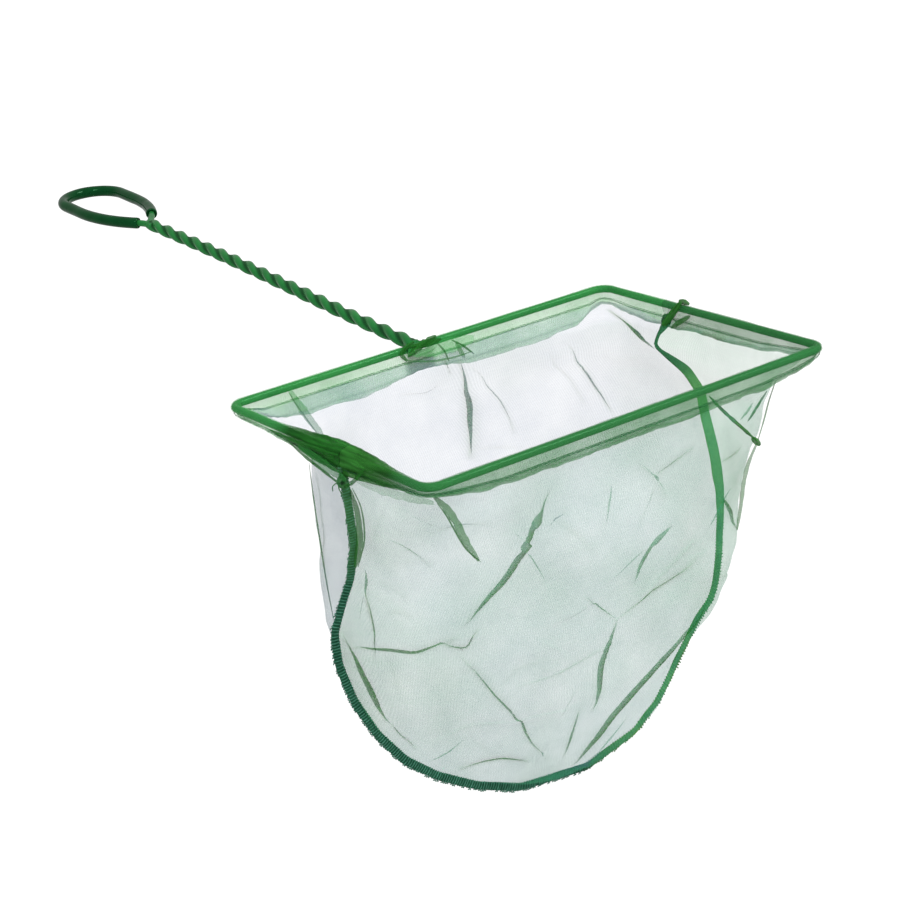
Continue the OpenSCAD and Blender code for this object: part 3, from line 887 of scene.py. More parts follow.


# Creases as pixels of the photograph: the points they pass through, their half width, how far the cloth
# folds over itself as a multiple of it, how far the layers stand apart, and how strongly it gathers, with
# painted shade on one side
FRONT_CREASES = [
    ("chord by the right seam",
     [(713, 590), (697, 623), (658, 666), (606, 720), (569, 765)], 2.3, 3.0, 1.6, 0.75),
    ("long pleat from the left seam",
     [(361, 562), (370, 600), (376, 640), (377, 670)], 1.5, 2.3, 1.0, 0.45),
    ("leaf below the waist",
     [(340, 630), (356, 658), (372, 690), (382, 708), (390, 722)], 2.9, 2.9, 1.6, 0.65),
    ("tail of the leaf", [(386, 712), (398, 730), (418, 748)], 1.3, 2.0, 0.9, 0.4),
    ("level crease from the waist",
     [(346, 640), (362, 648), (388, 650), (418, 655), (442, 643), (462, 636)], 1.8, 2.6, 1.2, 0.55),
    ("branch of the level crease", [(438, 644), (456, 648), (468, 648), (478, 628)], 1.5, 2.2, 0.9, 0.45),
    ("long leaf from the front rail",
     [(553, 486), (546, 504), (536, 524), (526, 546), (510, 573), (490, 596), (464, 630)],
     2.1, 2.7, 1.3, 0.5),
    ("short line below the front corner",
     [(378, 533), (402, 545), (421, 558), (434, 569)], 1.3, 1.8, 0.8, 0.3),
    ("long diagonal to the bottom",
     [(456, 650), (478, 674), (500, 700), (524, 728), (552, 760)], 1.4, 2.2, 0.8, 0.4),
    ("left arm of the fork", [(583, 595), (601, 608), (618, 620)], 1.2, 1.8, 0.7, 0.3),
    ("right arm of the fork",
     [(614, 621), (648, 593), (672, 577), (698, 560), (742, 528)], 1.4, 2.3, 0.9, 0.45),
    ("stem of the fork", [(618, 616), (611, 638), (600, 668), (590, 712)], 2.0, 2.6, 1.0, 0.45),
    ("stem towards the bottom", [(580, 703), (572, 728), (562, 757)], 1.3, 1.9, 0.7, 0.35),
    ("soft line across the lower middle",
     [(513, 686), (559, 673), (584, 660), (614, 640)], 1.6, 1.6, 0.6, 0.2),
    ("leaf by the bottom seam", [(456, 770), (478, 763), (500, 758), (532, 760)], 2.6, 2.6, 1.2, 0.5),
    ("bright leaf right of the middle",
     [(674, 525), (655, 545), (642, 563), (635, 584)], 1.9, 2.3, 1.0, 0.4),
    ("soft line under the right rail", [(652, 478), (675, 462), (697, 445)], 1.4, 1.8, 0.6, 0.3),
    ("soft valley under the right rail", [(638, 455), (655, 476), (672, 500)], 2.4, 1.3, 0.8, 0.14),
    ("short line by the right corner", [(719, 462), (742, 446)], 1.2, 2.0, 0.7, 0.4),
    ("small line left of the middle", [(505, 522), (530, 555), (550, 590)], 1.4, 1.6, 0.6, 0.15),
    ("curl beside the right seam", [(720, 500), (731, 512), (737, 530)], 1.8, 2.2, 1.0, 0.5),
    ("pleat below the right corner", [(762, 396), (755, 408), (747, 421)], 1.5, 2.2, 1.0, 0.4),
    ("pleat beside it", [(752, 402), (745, 412), (738, 420)], 1.3, 2.0, 0.9, 0.25),
    ("soft fold along the left seam", [(368, 560), (362, 600), (356, 640)], 3.0, 1.5, 0.9, 0.16),
    ("soft fold in the upper left", [(398, 500), (420, 520), (452, 532)], 2.6, 1.4, 0.9, 0.12),
    ("soft fold in the lower middle", [(430, 740), (470, 722), (520, 716)], 3.0, 1.4, 0.9, 0.14),
    ("soft fold in the right", [(640, 600), (664, 570), (700, 535)], 3.4, 1.4, 0.9, 0.14),
]
BACK_CREASES = [
    ("line from the far corner", [(606, 308), (630, 328), (655, 350), (688, 374)], 1.5, 2.7, 1.0, 0.9),
    ("long line in the mouth", [(566, 340), (578, 362), (594, 387), (616, 418)], 1.3, 2.2, 0.9, 0.35),
    ("line from the handle", [(468, 362), (485, 380), (503, 405), (516, 436)], 1.2, 2.0, 0.8, 0.25),
    ("leaf from the handle",
     [(457, 357), (464, 374), (468, 396), (470, 425), (471, 462)], 2.7, 2.7, 1.2, 0.5),
    ("short crease by the handle", [(443, 358), (447, 366), (451, 377)], 1.2, 2.0, 0.8, 0.3),
    ("soft curve in the mouth", [(395, 395), (428, 393), (447, 378)], 1.6, 1.2, 0.6, 0.06),
    ("left edge of the bag", [(314, 470), (319, 505), (324, 545), (335, 612)], 1.6, 2.2, 0.9, 0.4),
]


# Gap between points along a crease
CREASE_STEP = 2.2


def crease_steps(line):
    """A crease's line with points close enough to follow it."""
    length = np.linalg.norm(np.diff(line, axis=0), axis=1).sum()
    return resample(smooth_line(line), max(6, int(length / CREASE_STEP)))


def smooth_line(line):
    """Rounds the corners of a line of a few points."""
    return soften(resample(line, 80)[0], 60)


# Section of a crease, in half widths: how blunt its ends are and how far past them it fades, how much of
# its lift is over its whole width, and where the cloth looks gathered, and how strongly: core, then a band
# of painted shade on one side
END_BLUNT = 0.55
END_FADE = 1.5
WHOLE_LIFT = 0.35
CORE_REACH, CORE_SHARE = 1.75, 0.75
SHADE_EDGE_AT, SHADE_EDGE_REACH, SHADE_EDGE_SHARE = 1.05, 0.32, 0.6
# Rows of the mesh beside a crease
ROW_STEPS = [0, 0.35, 0.7, 1.05, 1.4, 1.8, 2.3, 3.0, 4.0]


class Crease:
    """A fold in the flat cloth, in which it may turn back over itself."""

    def __init__(self, line, half_width, turn_back, apart, gather):
        self.line, self.length = crease_steps(line)
        self.half_width, self.turn_back, self.apart, self.gather = half_width, turn_back, apart, gather

    def near(self, flat):
        """For each cloth place: share of the crease's length, signed and plain distance, and side."""
        start, way = self.line[:-1], np.diff(self.line, axis=0)
        span = np.linalg.norm(way, axis=1)
        way = way / span[:, None]
        gap = flat[:, None] - start[None]
        along = np.clip((gap * way).sum(2), 0, span)
        apart = gap - way * along[:, :, None]
        best = np.argmin((apart ** 2).sum(2), 1)
        pick = np.arange(len(flat))
        side = left_of(way[best])
        offset = (gap[pick, best] * side).sum(1)
        reach = (apart[pick, best] ** 2).sum(1) ** 0.5
        run = np.r_[0, np.cumsum(span)]
        share = (run[best] + along[pick, best]) / run[-1]
        return share, offset, reach, side

    def rows(self):
        """Cloth places that the mesh needs beside the crease."""
        side = unit(left_of(np.gradient(self.line, axis=0)))
        steps = np.array(ROW_STEPS)
        offsets = np.r_[-steps[::-1], steps[1:]] * self.half_width
        return (self.line[:, None] + side[:, None] * offsets[None, :, None]).reshape(-1, 2)

    def fold(self, flat):
        """How far the cloth shifts in its plane and off it, and how gathered it is, at flat places."""
        shift, lift, gathered_and_shade = np.zeros_like(flat), np.zeros(len(flat)), np.zeros(len(flat))
        low, high = self.line.min(0) - 5 * self.half_width, self.line.max(0) + 5 * self.half_width
        close = np.flatnonzero(((flat > low) & (flat < high)).all(1))
        if len(close) == 0:
            return shift, lift, gathered_and_shade
        share, offset, reach, side = self.near(flat[close])
        taper = np.sin(math.pi * np.clip(share, 0, 1)) ** END_BLUNT
        beyond = np.exp(-np.maximum(reach ** 2 - offset ** 2, 0) / (self.half_width * END_FADE) ** 2)
        ratio = offset / self.half_width
        bell = np.exp(-ratio ** 2 / 2) * taper * beyond
        shift[close] = -side * (self.turn_back * self.half_width * ratio * bell)[:, None]
        lift[close] = self.apart * (ratio * bell + WHOLE_LIFT * bell)
        core = np.exp(-(ratio / CORE_REACH) ** 2)
        # Painted shade: a narrow dark band on one side of the crease, where its slope turns
        edge = np.exp(-((ratio - SHADE_EDGE_AT) / SHADE_EDGE_REACH) ** 2)
        gathered_and_shade[close] = self.gather * (CORE_SHARE * core + SHADE_EDGE_SHARE * edge) * taper * beyond
        return shift, lift, gathered_and_shade


def random_creases(panel, count, seed):
    """Small creases of the crumpled cloth, spread over a panel."""
    draw = np.random.default_rng(seed)
    made = []
    for _ in range(count):
        depth = draw.uniform(18, panel.down[-1] - 30)
        wide = np.interp(depth, panel.down, panel.width)
        centre = np.array([draw.uniform(-0.42, 0.42) * wide, depth])
        angle = draw.uniform(0, math.pi)
        half = np.array([math.cos(angle), math.sin(angle)]) * draw.uniform(9, 24)
        bow = np.array([-half[1], half[0]]) * draw.uniform(-0.25, 0.25)
        line = np.array([centre - half, centre + bow, centre + half])
        made.append(Crease(line, draw.uniform(1.2, 3.2), draw.uniform(0.5, 1.5), draw.uniform(0.4, 0.9),
                           draw.uniform(0.02, 0.14)))
    return made


# Flat cloth: gap between points on its edge and over the rest, and the cell that holds one point at most
EDGE_STEP = 2.4
SPREAD_STEP = 3.2
POINT_CELL = 0.25


def flat_points(panel, creases):
    """Flat places to make the mesh from: the cloth's edge, an even spread, and rows beside each crease."""
    edge = panel.outline(EDGE_STEP)
    rows = np.concatenate([crease.rows() for crease in creases])
    wide, tall = panel.width.max() / 2, panel.down[-1]
    x, y = np.meshgrid(np.arange(-wide, wide, SPREAD_STEP),
                       np.arange(SPREAD_STEP, tall, SPREAD_STEP * 0.87))
    x[::2] += SPREAD_STEP / 2
    spread = np.stack([x.ravel(), y.ravel()], 1)
    inner = np.concatenate([spread, rows])
    half = np.interp(inner[:, 1], panel.down, panel.width) / 2
    inner = inner[(inner[:, 1] > 1) & (inner[:, 1] < tall - 1) & (np.abs(inner[:, 0]) < half - 1)]
    _, kept = np.unique(np.round(inner / POINT_CELL).astype(int), axis=0, return_index=True)
    return edge, inner[np.sort(kept)]


def triangulate(edge, inner):
    points = [Vector(p) for p in np.concatenate([edge, inner]).tolist()]
    around = [(i, (i + 1) % len(edge)) for i in range(len(edge))]
    flat, _, faces, *_ = delaunay_2d_cdt(points, around, [list(range(len(edge)))], 1, 1e-5)
    return np.array([tuple(p) for p in flat]), np.array([tuple(face) for face in faces])


def ripple(points, scale, seed):
    """Smooth noise at places, from -1 to 1."""
    return np.array([ripple_at(x * scale, y * scale, z * scale + seed) for x, y, z in points.tolist()])


# Waves of the hanging cloth, and of the gathers at its hem: how many to the millimetre, height and seed
BUCKLES = [(0.016, 3.0, 0), (0.045, 1.0, 7)]
GATHERS = [(0.075, 1.6, 3), (0.17, 0.8, 4)]
# The seam and the hem hold the cloth flat within these distances, and the hem's gathers fade below it
SEAM_HOLD = 2.5
HEM_HOLD = 4
HANG_FADE = 22
# Denser cloth where a panel turns round the side of the bag: where it begins, over what run, how much
FLANK_X = 98
FLANK_RUN = 22
FLANK_GATHER = 0.13
# Patches of denser cloth: how many to the millimetre, how dense, and the densest
PATCHES = 0.022
PATCH_GATHER = 0.16
PATCH_MOST = 0.14
# Behind the hem each panel is thinner: how much, to what depth, and over what run
THIN_GATHER = 0.3
FRONT_THIN = 5
BACK_THIN = 13
THIN_RUN = 4


def waves(points, rows, seed):
    """Several smooth waves at places, added up."""
    return sum(ripple(points, scale, seed + more) * height for scale, height, more in rows)


def panel_cloth(panel, creases):
    """The panel's mesh: flat places, their places in the bag, triangles, and how gathered the cloth is."""
    flat, faces = triangulate(*flat_points(panel, creases))
    half = np.interp(flat[:, 1], panel.down, panel.width) / 2
    from_seam = np.minimum(half - np.abs(flat[:, 0]), panel.down[-1] - flat[:, 1])
    free = ease(from_seam / SEAM_HOLD) * ease(flat[:, 1] / HEM_HOLD)
    shift, lift, gathered_and_shade = np.zeros_like(flat), np.zeros(len(flat)), np.zeros(len(flat))
    for crease in creases:
        more_shift, more_lift, more_gathered_and_shade = crease.fold(flat)
        shift += more_shift
        lift += more_lift
        gathered_and_shade = np.maximum(gathered_and_shade, more_gathered_and_shade)
    shifted = flat + shift * free[:, None]
    base = panel.sample(panel.grid, shifted)
    normal = unit(panel.sample(panel.normals, shifted))
    seed = 5 if panel.front else 11
    buckle = waves(base, BUCKLES, seed)
    hang = np.exp(-flat[:, 1] / HANG_FADE)
    hem_line = np.c_[flat[:, 0], np.zeros(len(flat)), flat[:, 1] * 0.25]
    gathers = waves(hem_line, GATHERS, seed) * hang
    lift = lift + (buckle * (1 - hang) + gathers * ease(flat[:, 1] / 3))
    points = base + normal * (lift * free)[:, None]
    patches = np.clip(ripple(base, PATCHES, seed + 20) * PATCH_GATHER + 0.02, 0, PATCH_MOST)
    patches = patches + FLANK_GATHER * ramp(np.abs(base[:, 0]), FLANK_X, FLANK_RUN)
    thin = FRONT_THIN if panel.front else BACK_THIN
    patches = patches - THIN_GATHER * ease((thin - flat[:, 1]) / THIN_RUN)
    return flat, points, faces, np.maximum(gathered_and_shade * free, patches)


def thicken(points, faces, thickness):
    """A closed shell from a sheet of triangles."""
    a, b, c = (points[faces[:, k]] for k in range(3))
    face_normal = np.cross(b - a, c - a)
    normal = np.zeros_like(points)
    for k in range(3):
        np.add.at(normal, faces[:, k], face_normal)
    normal = unit(normal)
    count = len(points)
    both = np.concatenate([points + normal * thickness / 2, points - normal * thickness / 2])
    edges = np.concatenate([faces[:, [0, 1]], faces[:, [1, 2]], faces[:, [2, 0]]])
    keys = {(int(p), int(q)) for p, q in edges}
    rim_quads = [(q, p, p + count, q + count) for p, q in sorted(keys) if (q, p) not in keys]
    return both, [tuple(f) for f in faces] + [tuple(f[::-1] + count) for f in faces] + rim_quads


def make_panel(name, panel, creases, replaced):
    flat, points, faces, gathered_and_shade = panel_cloth(panel, creases)
    a, b, c = (points[faces[:, k]] for k in range(3))
    facing = (np.cross(b - a, c - a) * panel.sample(panel.normals, flat[faces].mean(1))).sum()
    if facing < 0:
        faces = faces[:, ::-1]
    shell, shell_faces = thicken(points, faces, CLOTH_T)
    uv = np.tile(flat, (2, 1))
    # The back panel takes the mesh with painted shade
    material = MESH if panel.front else SHADED_BACK_MESH
    return mesh_piece(name, shell, shell_faces, material, replaced, uv, np.tile(gathered_and_shade, 2))


def photo_creases(panel, listed, far):
    """Creases laid on the flat cloth at their places in the photograph."""
    return [Crease(panel.flat_places(pixels, far), *sizes) for _, pixels, *sizes in listed]


# Hem: the panels' top edges, folded over the wire and stitched

# The roll on the left short side: where it is thickest, round the hoop, and how far it reaches
ROLL_PLACE = 16
ROLL_REACH = 62


def roll_share(at):
    """How rolled up the hem is: it bunches on the left short side, round the end of the seam."""
    at = (np.asarray(at, float) + RIM_LEN / 2) % RIM_LEN - RIM_LEN / 2
    return ease(1 - np.abs(at - ROLL_PLACE) / ROLL_REACH)


def fork_share(at):
    """1 where the hem passes under the fork, 0 beside it."""
    gap = np.abs(np.asarray(at, float) - rim_place(FORK_PLACE, HALF_D))
    return ease((FORK_X + 6 - gap) / 5)


def hem_profile(drop, stitch, roll, fork, wave):
    """Section of the folded cloth, as places outward from the wire and up: plain, bunched and rolled up."""
    ring = COAT_R + 0.4
    over = [(ring * math.cos(a), ring * math.sin(a)) for a in np.radians([0, 30, 60, 90, 120, 150, 180])]
    plain = np.array([(0.75, stitch - 1.2), (0.6, stitch), (1.7, stitch * 0.55), (ring, -0.8), *over,
                      (-ring, -0.8), (-1.6 - wave * 0.4, stitch * 0.55), (-0.45, stitch),
                      (-0.9 - wave * 0.8, mix(stitch, -drop, 0.5)), (-1.2 - wave * 1.6, -drop + 0.5),
                      (-0.95 - wave * 1.6, -drop), (-0.7 - wave * 1.6, -drop + 0.5),
                      (-0.35 - wave * 0.8, mix(stitch, -drop, 0.5)), (-0.1, stitch)])
    rolled = np.array([(2.2, -9.5), (2.6, -7.5), (3.4, -4.5), (3.4, -1), (3.0, 1.2), (2.0, 2.7), (0.3, 3.6),
                       (-2, 4.2), (-4.4, 3.8), (-6.4, 2.4), (-7.4, 0.4), (-7.3, -1.8), (-5.4, -4.4),
                       (-2.6, -7.2), (-1.8, -8.2), (-1.4, -9.2), (-0.8, -9.4), (-0.3, -8.9), (0, -7.6),
                       (0.2, -6.2)])
    bunch = COAT_R + 1.2
    bunched = plain.copy()
    high = plain[:, 1] > -bunch
    bunched[high] = np.c_[plain[high, 0] * 1.2, -bunch + (plain[high, 1] - 2) * 0.3]
    return mix(mix(plain, bunched, fork), rolled, roll)


def ribbon(line, thickness):
    """Both faces of a folded strip, as one closed outline."""
    normal = left_of(unit(np.gradient(line, axis=0))) * thickness / 2
    return np.concatenate([line + normal, (line - normal)[::-1]])


# Points round half a section of the hem and the gap between them, the one at its folded edge, and the gap
# between sections along the hoop
HEM_POINTS = 46
HEM_POINT_GAP = 0.7
FOLD_POINT = 37
HEM_STEP = 1.3
# Plain and rolled up or bunched: how crumpled the hem is, and how thick its cloth
CRUMPLE = 0.18, 1.1
HEM_T = 0.32, 0.6
# How gathered the hem looks: along its folded edge, less where it hangs loose below the stitching, and
# some at the fork
FOLD_GATHER = 0.35
LOOSE_GATHER = -0.12
FORK_GATHER = 0.3


def make_hem(name, start, end, material, replaced, more):
    """The hem from one place on the hoop to another, with more bunched cloth joined to it."""
    points, uv, values = [], [], []
    at = np.linspace(start, end, int((end - start) / HEM_STEP))
    place, out = rim(at)
    drop, stitch = hem_drop(at), -stitch_depth(at)
    roll, fork = roll_share(at), fork_share(at)
    steps = np.arange(HEM_POINTS)
    both = np.r_[steps, steps[::-1]]
    for k, s in enumerate(at):
        x, y = place[k]
        wave = ripple_at(x * 0.09, y * 0.09, 5) + 0.4 * ripple_at(x * 0.31, y * 0.31, 9)
        sag = 1 + 0.10 * ripple_at(x * 0.06, y * 0.06, 2)
        fine, _ = resample(hem_profile(drop[k] * sag, stitch[k], roll[k], fork[k], wave), HEM_POINTS)
        crumple = np.array([ripple_at(x * 0.07 + t * 0.05, y * 0.07, t * 0.42)
                            + 0.5 * ripple_at(x * 0.2, y * 0.2, t * 0.8) for t in steps])
        rough = max(roll[k], fork[k] * 0.6)
        fine += left_of(unit(np.gradient(fine, axis=0))) * (crumple * mix(*CRUMPLE, rough))[:, None]
        section = ribbon(fine, mix(*HEM_T, roll[k]))
        points.append(np.c_[place[k] + out[k] * section[:, :1], section[:, 1]])
        along = s if s < LEFT_TACK + RIM_LEN / 2 else s - RIM_LEN
        uv.append(np.stack([np.full(len(both), along), both * HEM_POINT_GAP], 1))
        fold_edge = np.exp(-((both - FOLD_POINT) / 1.2) ** 2) * FOLD_GATHER
        below = section[:, 1] < stitch[k]
        loose = LOOSE_GATHER * ramp(drop[k], 12, 6) * below
        values.append(np.maximum(max(roll[k] ** 0.6, fork[k] * FORK_GATHER), fold_edge + loose))
    size, count = len(both), len(at)
    faces = grid_faces(count, size, True)
    for row, turned in ((0, True), (count - 1, False)):
        for i in range(HEM_POINTS - 1):
            a, b = row * size + i, row * size + i + 1
            c, d = row * size + size - 2 - i, row * size + size - 1 - i
            faces.append((a, b, c, d) if turned else (d, c, b, a))
    points, faces = join([(np.concatenate(points), faces), *(rope[:2] for rope in more)])
    uv = np.concatenate(uv + [rope[2] for rope in more])
    values = np.concatenate(values + [rope[3] for rope in more])
    return mesh_piece(name, points, faces, material, replaced, uv, values)


# Bunched cloth: the share of its thickness that its ends keep, and how unevenly thick it is
ROPE_END = 0.3
ROPE_UNEVEN = 0.3
ROPE_POINTS = 50
ROPE_SIDES = 14


def cloth_rope(pixels, plane, thickness, flatness, gathered_and_shade, seed):
    """Bunched cloth along pixels, in an upright plane: points, faces, uv and gathering.

    The plane is an axis, 0 across the hoop or 1 towards the handle, and its place on that axis."""
    axis, place = plane
    line = []
    for pixel in pixels:
        way = pixel_ray(pixel)
        line.append(EYE + way * ((place - EYE[axis]) / way[axis]))
    path, length = resample(smooth_line(np.array(line)), ROPE_POINTS)
    share = np.linspace(0, 1, ROPE_POINTS)
    swell = ripple_row(np.arange(ROPE_POINTS) * 0.22, seed)
    full = mix(ROPE_END, 1, np.sin(math.pi * share) ** 0.6)
    points, faces = tube(path, thickness * full * (1 + ROPE_UNEVEN * swell), ROPE_SIDES, np.eye(3)[axis])
    points[:, axis] = place + (points[:, axis] - place) * flatness
    rows = np.arange(len(points))
    uv = np.stack([rows // ROPE_SIDES * length / ROPE_POINTS, rows % ROPE_SIDES * 1.2], 1)
    return points, faces, uv, np.full(len(points), gathered_and_shade)


# Bunched cloth: pixels along it, its plane, its half width, how flat it is, how gathered, and a seed.
# The rear hem is drawn up round the handle's foot, with a loose leaf of cloth near the left corner
REAR_PLANE = (1, HALF_D - 3.2)
CORNER_PLANE = (1, HALF_D - 12)
REAR_ROPES = [
    ([(414, 342), (405, 348), (401, 355), (407, 361)], REAR_PLANE, 1.5, 0.5, 0.75, 1),
    ([(404, 359), (414, 362), (436, 361), (456, 357), (473, 351)], REAR_PLANE, 0.6, 0.6, 0.35, 4),
    ([(408, 352), (428, 350), (452, 345), (474, 338)], REAR_PLANE, 4.6, 0.08, 0.02, 2),
    ([(408, 347), (424, 345), (441, 339)], REAR_PLANE, 1.6, 0.5, 0.85, 3),
    ([(436, 336), (426, 342), (417, 348), (408, 357)], REAR_PLANE, 2.3, 0.4, 0.9, 8),
    ([(436, 342), (444, 350), (449, 361)], REAR_PLANE, 0.6, 0.6, 0.45, 7),
    ([(452, 340), (464, 346), (474, 354)], REAR_PLANE, 0.6, 0.6, 0.6, 9),
    ([(456, 342), (460, 350), (465, 358)], REAR_PLANE, 1.4, 0.3, 0.3, 10),
    ([(290, 391), (298, 403), (310, 420), (323, 436)], CORNER_PLANE, 2.3, 0.10, 0.22, 5),
    ([(288, 391), (296, 404), (308, 421), (319, 436)], CORNER_PLANE, 0.35, 0.6, 0.5, 6),
]
# Curls of cloth round the right tack
RIGHT_PLANE = (0, HALF_W - 3.0)
RIGHT_ROPES = [
    ([(681, 302), (673, 313), (665, 323), (660, 330)], RIGHT_PLANE, 2.2, 0.5, 0.95, 21),
    ([(671, 328), (680, 322), (690, 316)], RIGHT_PLANE, 1.5, 0.4, 0.6, 22),
    ([(679, 301), (684, 302), (689, 304)], (0, HALF_W + 0.5), 1.6, 0.8, 0.9, 23),
]
# On the front panel: a taut line to a knot and pleats by it at the right corner, the flap below the roll,
# and leaves beside the left seam and under the front corner, each with a darker edge
LEAF_PLANE = (0, -HALF_W + 1.0)
PLEAT_PLANE = (1, -HALF_D + 3)
FRONT_ROPES = [
    ([(709, 396), (722, 410), (740, 426), (757, 441)], (1, -HALF_D + 7), 1.0, 0.7, 0.8, 31),
    ([(752, 438), (757, 442), (760, 445)], (1, -HALF_D + 10), 1.7, 0.7, 0.9, 32),
    ([(776, 380), (769, 400), (764, 420), (758, 440)], (1, -HALF_D + 16), 0.5, 0.7, 0.5, 33),
    ([(767, 391), (757, 407), (748, 421)], (1, -HALF_D + 16), 0.8, 0.4, 0.4, 34),
    ([(757, 443), (748, 463), (743, 485), (741, 505), (737, 530)], (1, -HALF_D + 32), 1.5, 0.4, 0.35, 35),
    ([(356, 481), (380, 490), (405, 497), (434, 503)], (0, -HALF_W - 1.0), 2.4, 0.08, -0.1, 36),
    ([(349, 488), (356, 505), (359, 522), (360, 541), (355, 567)], LEAF_PLANE, 3.0, 0.12, 0.45, 37),
    ([(352, 488), (361, 505), (364, 522), (365, 541), (358, 567)], LEAF_PLANE, 0.5, 0.8, 0.5, 38),
    ([(434, 497), (447, 508), (457, 523), (466, 543), (479, 561)], PLEAT_PLANE, 2.0, 0.12, 0.35, 39),
    ([(437, 503), (447, 516), (456, 533), (466, 550), (481, 562)], PLEAT_PLANE, 0.45, 0.8, 0.6, 40),
]
# The turned edge of the cloth at the bag's left side
EDGE_ROPES = [
    ([(309, 463), (313, 495), (319, 535), (326, 580), (334, 622)], (1, 26), 0.4, 1.0, 0.6, 41),
]
# Folds from the roll to the left end of the seam
LEFT_PLANE = (0, -HALF_W - 5.0)
LEFT_ROPES = [
    ([(290, 443), (304, 456), (322, 470), (342, 486)], LEFT_PLANE, 0.9, 0.6, 0.8, 11),
    ([(298, 446), (316, 459), (334, 472), (346, 480)], LEFT_PLANE, 3.4, 0.15, 0.30, 12),
    ([(344, 487), (352, 483), (359, 476), (364, 469)], LEFT_PLANE, 1.1, 0.6, 0.7, 13),
    ([(270, 430), (292, 440), (316, 449), (338, 455)], LEFT_PLANE, 1.2, 0.6, 0.7, 14),
]


# Seam

def seam_path(count):
    """The U seam, from the left tack down and up to the right tack."""
    line = np.concatenate([front.grid[:, 0], front.grid[::-1, -1][1:]])
    return resample(soften(resample(line, 500)[0], 6), count)[0]


# The seam's edge: its width and thickness, the points along it and the pitch of the overlock round it
SEAM_W = 4.6
SEAM_T = 1.3
SEAM_POINTS = 700
OVERLOCK_PITCH = 1.7
# On the right the overlock ends at this depth, under cloth that is folded over it
OVERLOCK_TOP = 120


def seam_outward(path):
    """Way out of the bag along the seam."""
    tangent = unit(np.gradient(path, axis=0))
    out = unit(np.cross(tangent, [0, 1, 0]))
    centre = path - np.array([0, 0, -90])
    flip = np.sign((out * centre).sum(1))
    return out * np.median(flip)


# Width of the right half of the seam by its depth: it is pulled thin below its tack
RIGHT_WIDTH = [
    (0, 1.2), (10, 1.1), (15, 0.5), (26, 0.5), (38, 1.1), (55, 1.6), (95, 1.7), (125, 1.1), (238, 0.9),
]


def seam_width(path):
    """Share of its full width that the seam has along its path."""
    depth, share = np.array(RIGHT_WIDTH).T
    return mix(1.0, np.interp(-path[:, 2], depth, share), ramp(path[:, 0], 20, 60))


def covered_share(points):
    """1 where green cloth hides the seam's thread: right of the lowest point, less at the top left."""
    across, up = points[:, 0], points[:, 2]
    right = ramp(across, 15, 25) * mix(0.25, 1, ramp(-up, 30, 20))
    left = ramp(-across, 60, 30) * ramp(up, -80, 25)
    return right + 0.4 * left


# The seam's edge: how far it reaches over the cloth, and how wavy it is sideways and in width
SEAM_OVERLAP = 0.3
SEAM_WAVE = 0.5
WIDTH_WAVE = 0.2


def make_seam_band():
    """The pressed edges of both panels, wavy where the stitching draws them in."""
    path = seam_path(SEAM_POINTS)
    out = seam_outward(path)
    width = seam_width(path)
    sides = 14
    turn = full_turn(sides)
    rings = []
    for k, place in enumerate(path):
        wave = ripple_at(k * 0.08, 1.5, 3)
        flat = np.abs(np.cos(turn)) ** 0.8 * np.sign(np.cos(turn))
        across = ((SEAM_W / 2 + wave * WIDTH_WAVE) * flat + SEAM_W / 2 - SEAM_OVERLAP) * width[k]
        thick = SEAM_T / 2 * np.sin(turn) + wave * SEAM_WAVE
        rings.append(place + np.outer(across, out[k]) + np.outer(thick, [0, 1, 0]))
    points = np.array(rings).reshape(-1, 3)
    faces = grid_faces(len(path), sides, True) + end_caps(len(path), sides)
    mesh_piece("seam_edge", points, faces, EDGE_THREAD, ["seam_band"],
               values=covered_share(points))


def overlock_stitch():
    """One turn of thread round the seam's edge. X runs along the seam and Z out of the bag."""
    turn = np.linspace(0, 2 * math.pi, 13)
    path = np.stack([OVERLOCK_PITCH * (turn / (2 * math.pi) - 0.5), (SEAM_T / 2 + 0.25) * np.sin(turn),
                     SEAM_W / 2 - 0.2 + (SEAM_W / 2 + 0.25) * np.cos(turn)], 1)
    return tube(path, 0.30, 5, (0, 1, 0))


def lock_stitch():
    """One stitch of the hem: a short thread that dips into the cloth at both ends."""
    along = np.linspace(-1, 1, 7)
    path = np.stack([along * 1.25, np.zeros(7), 0.28 * (1 - along ** 2)], 1)
    return tube(path, 0.2 * np.sqrt(1.05 - along ** 2 * 0.7), 5, (0, 1, 0))


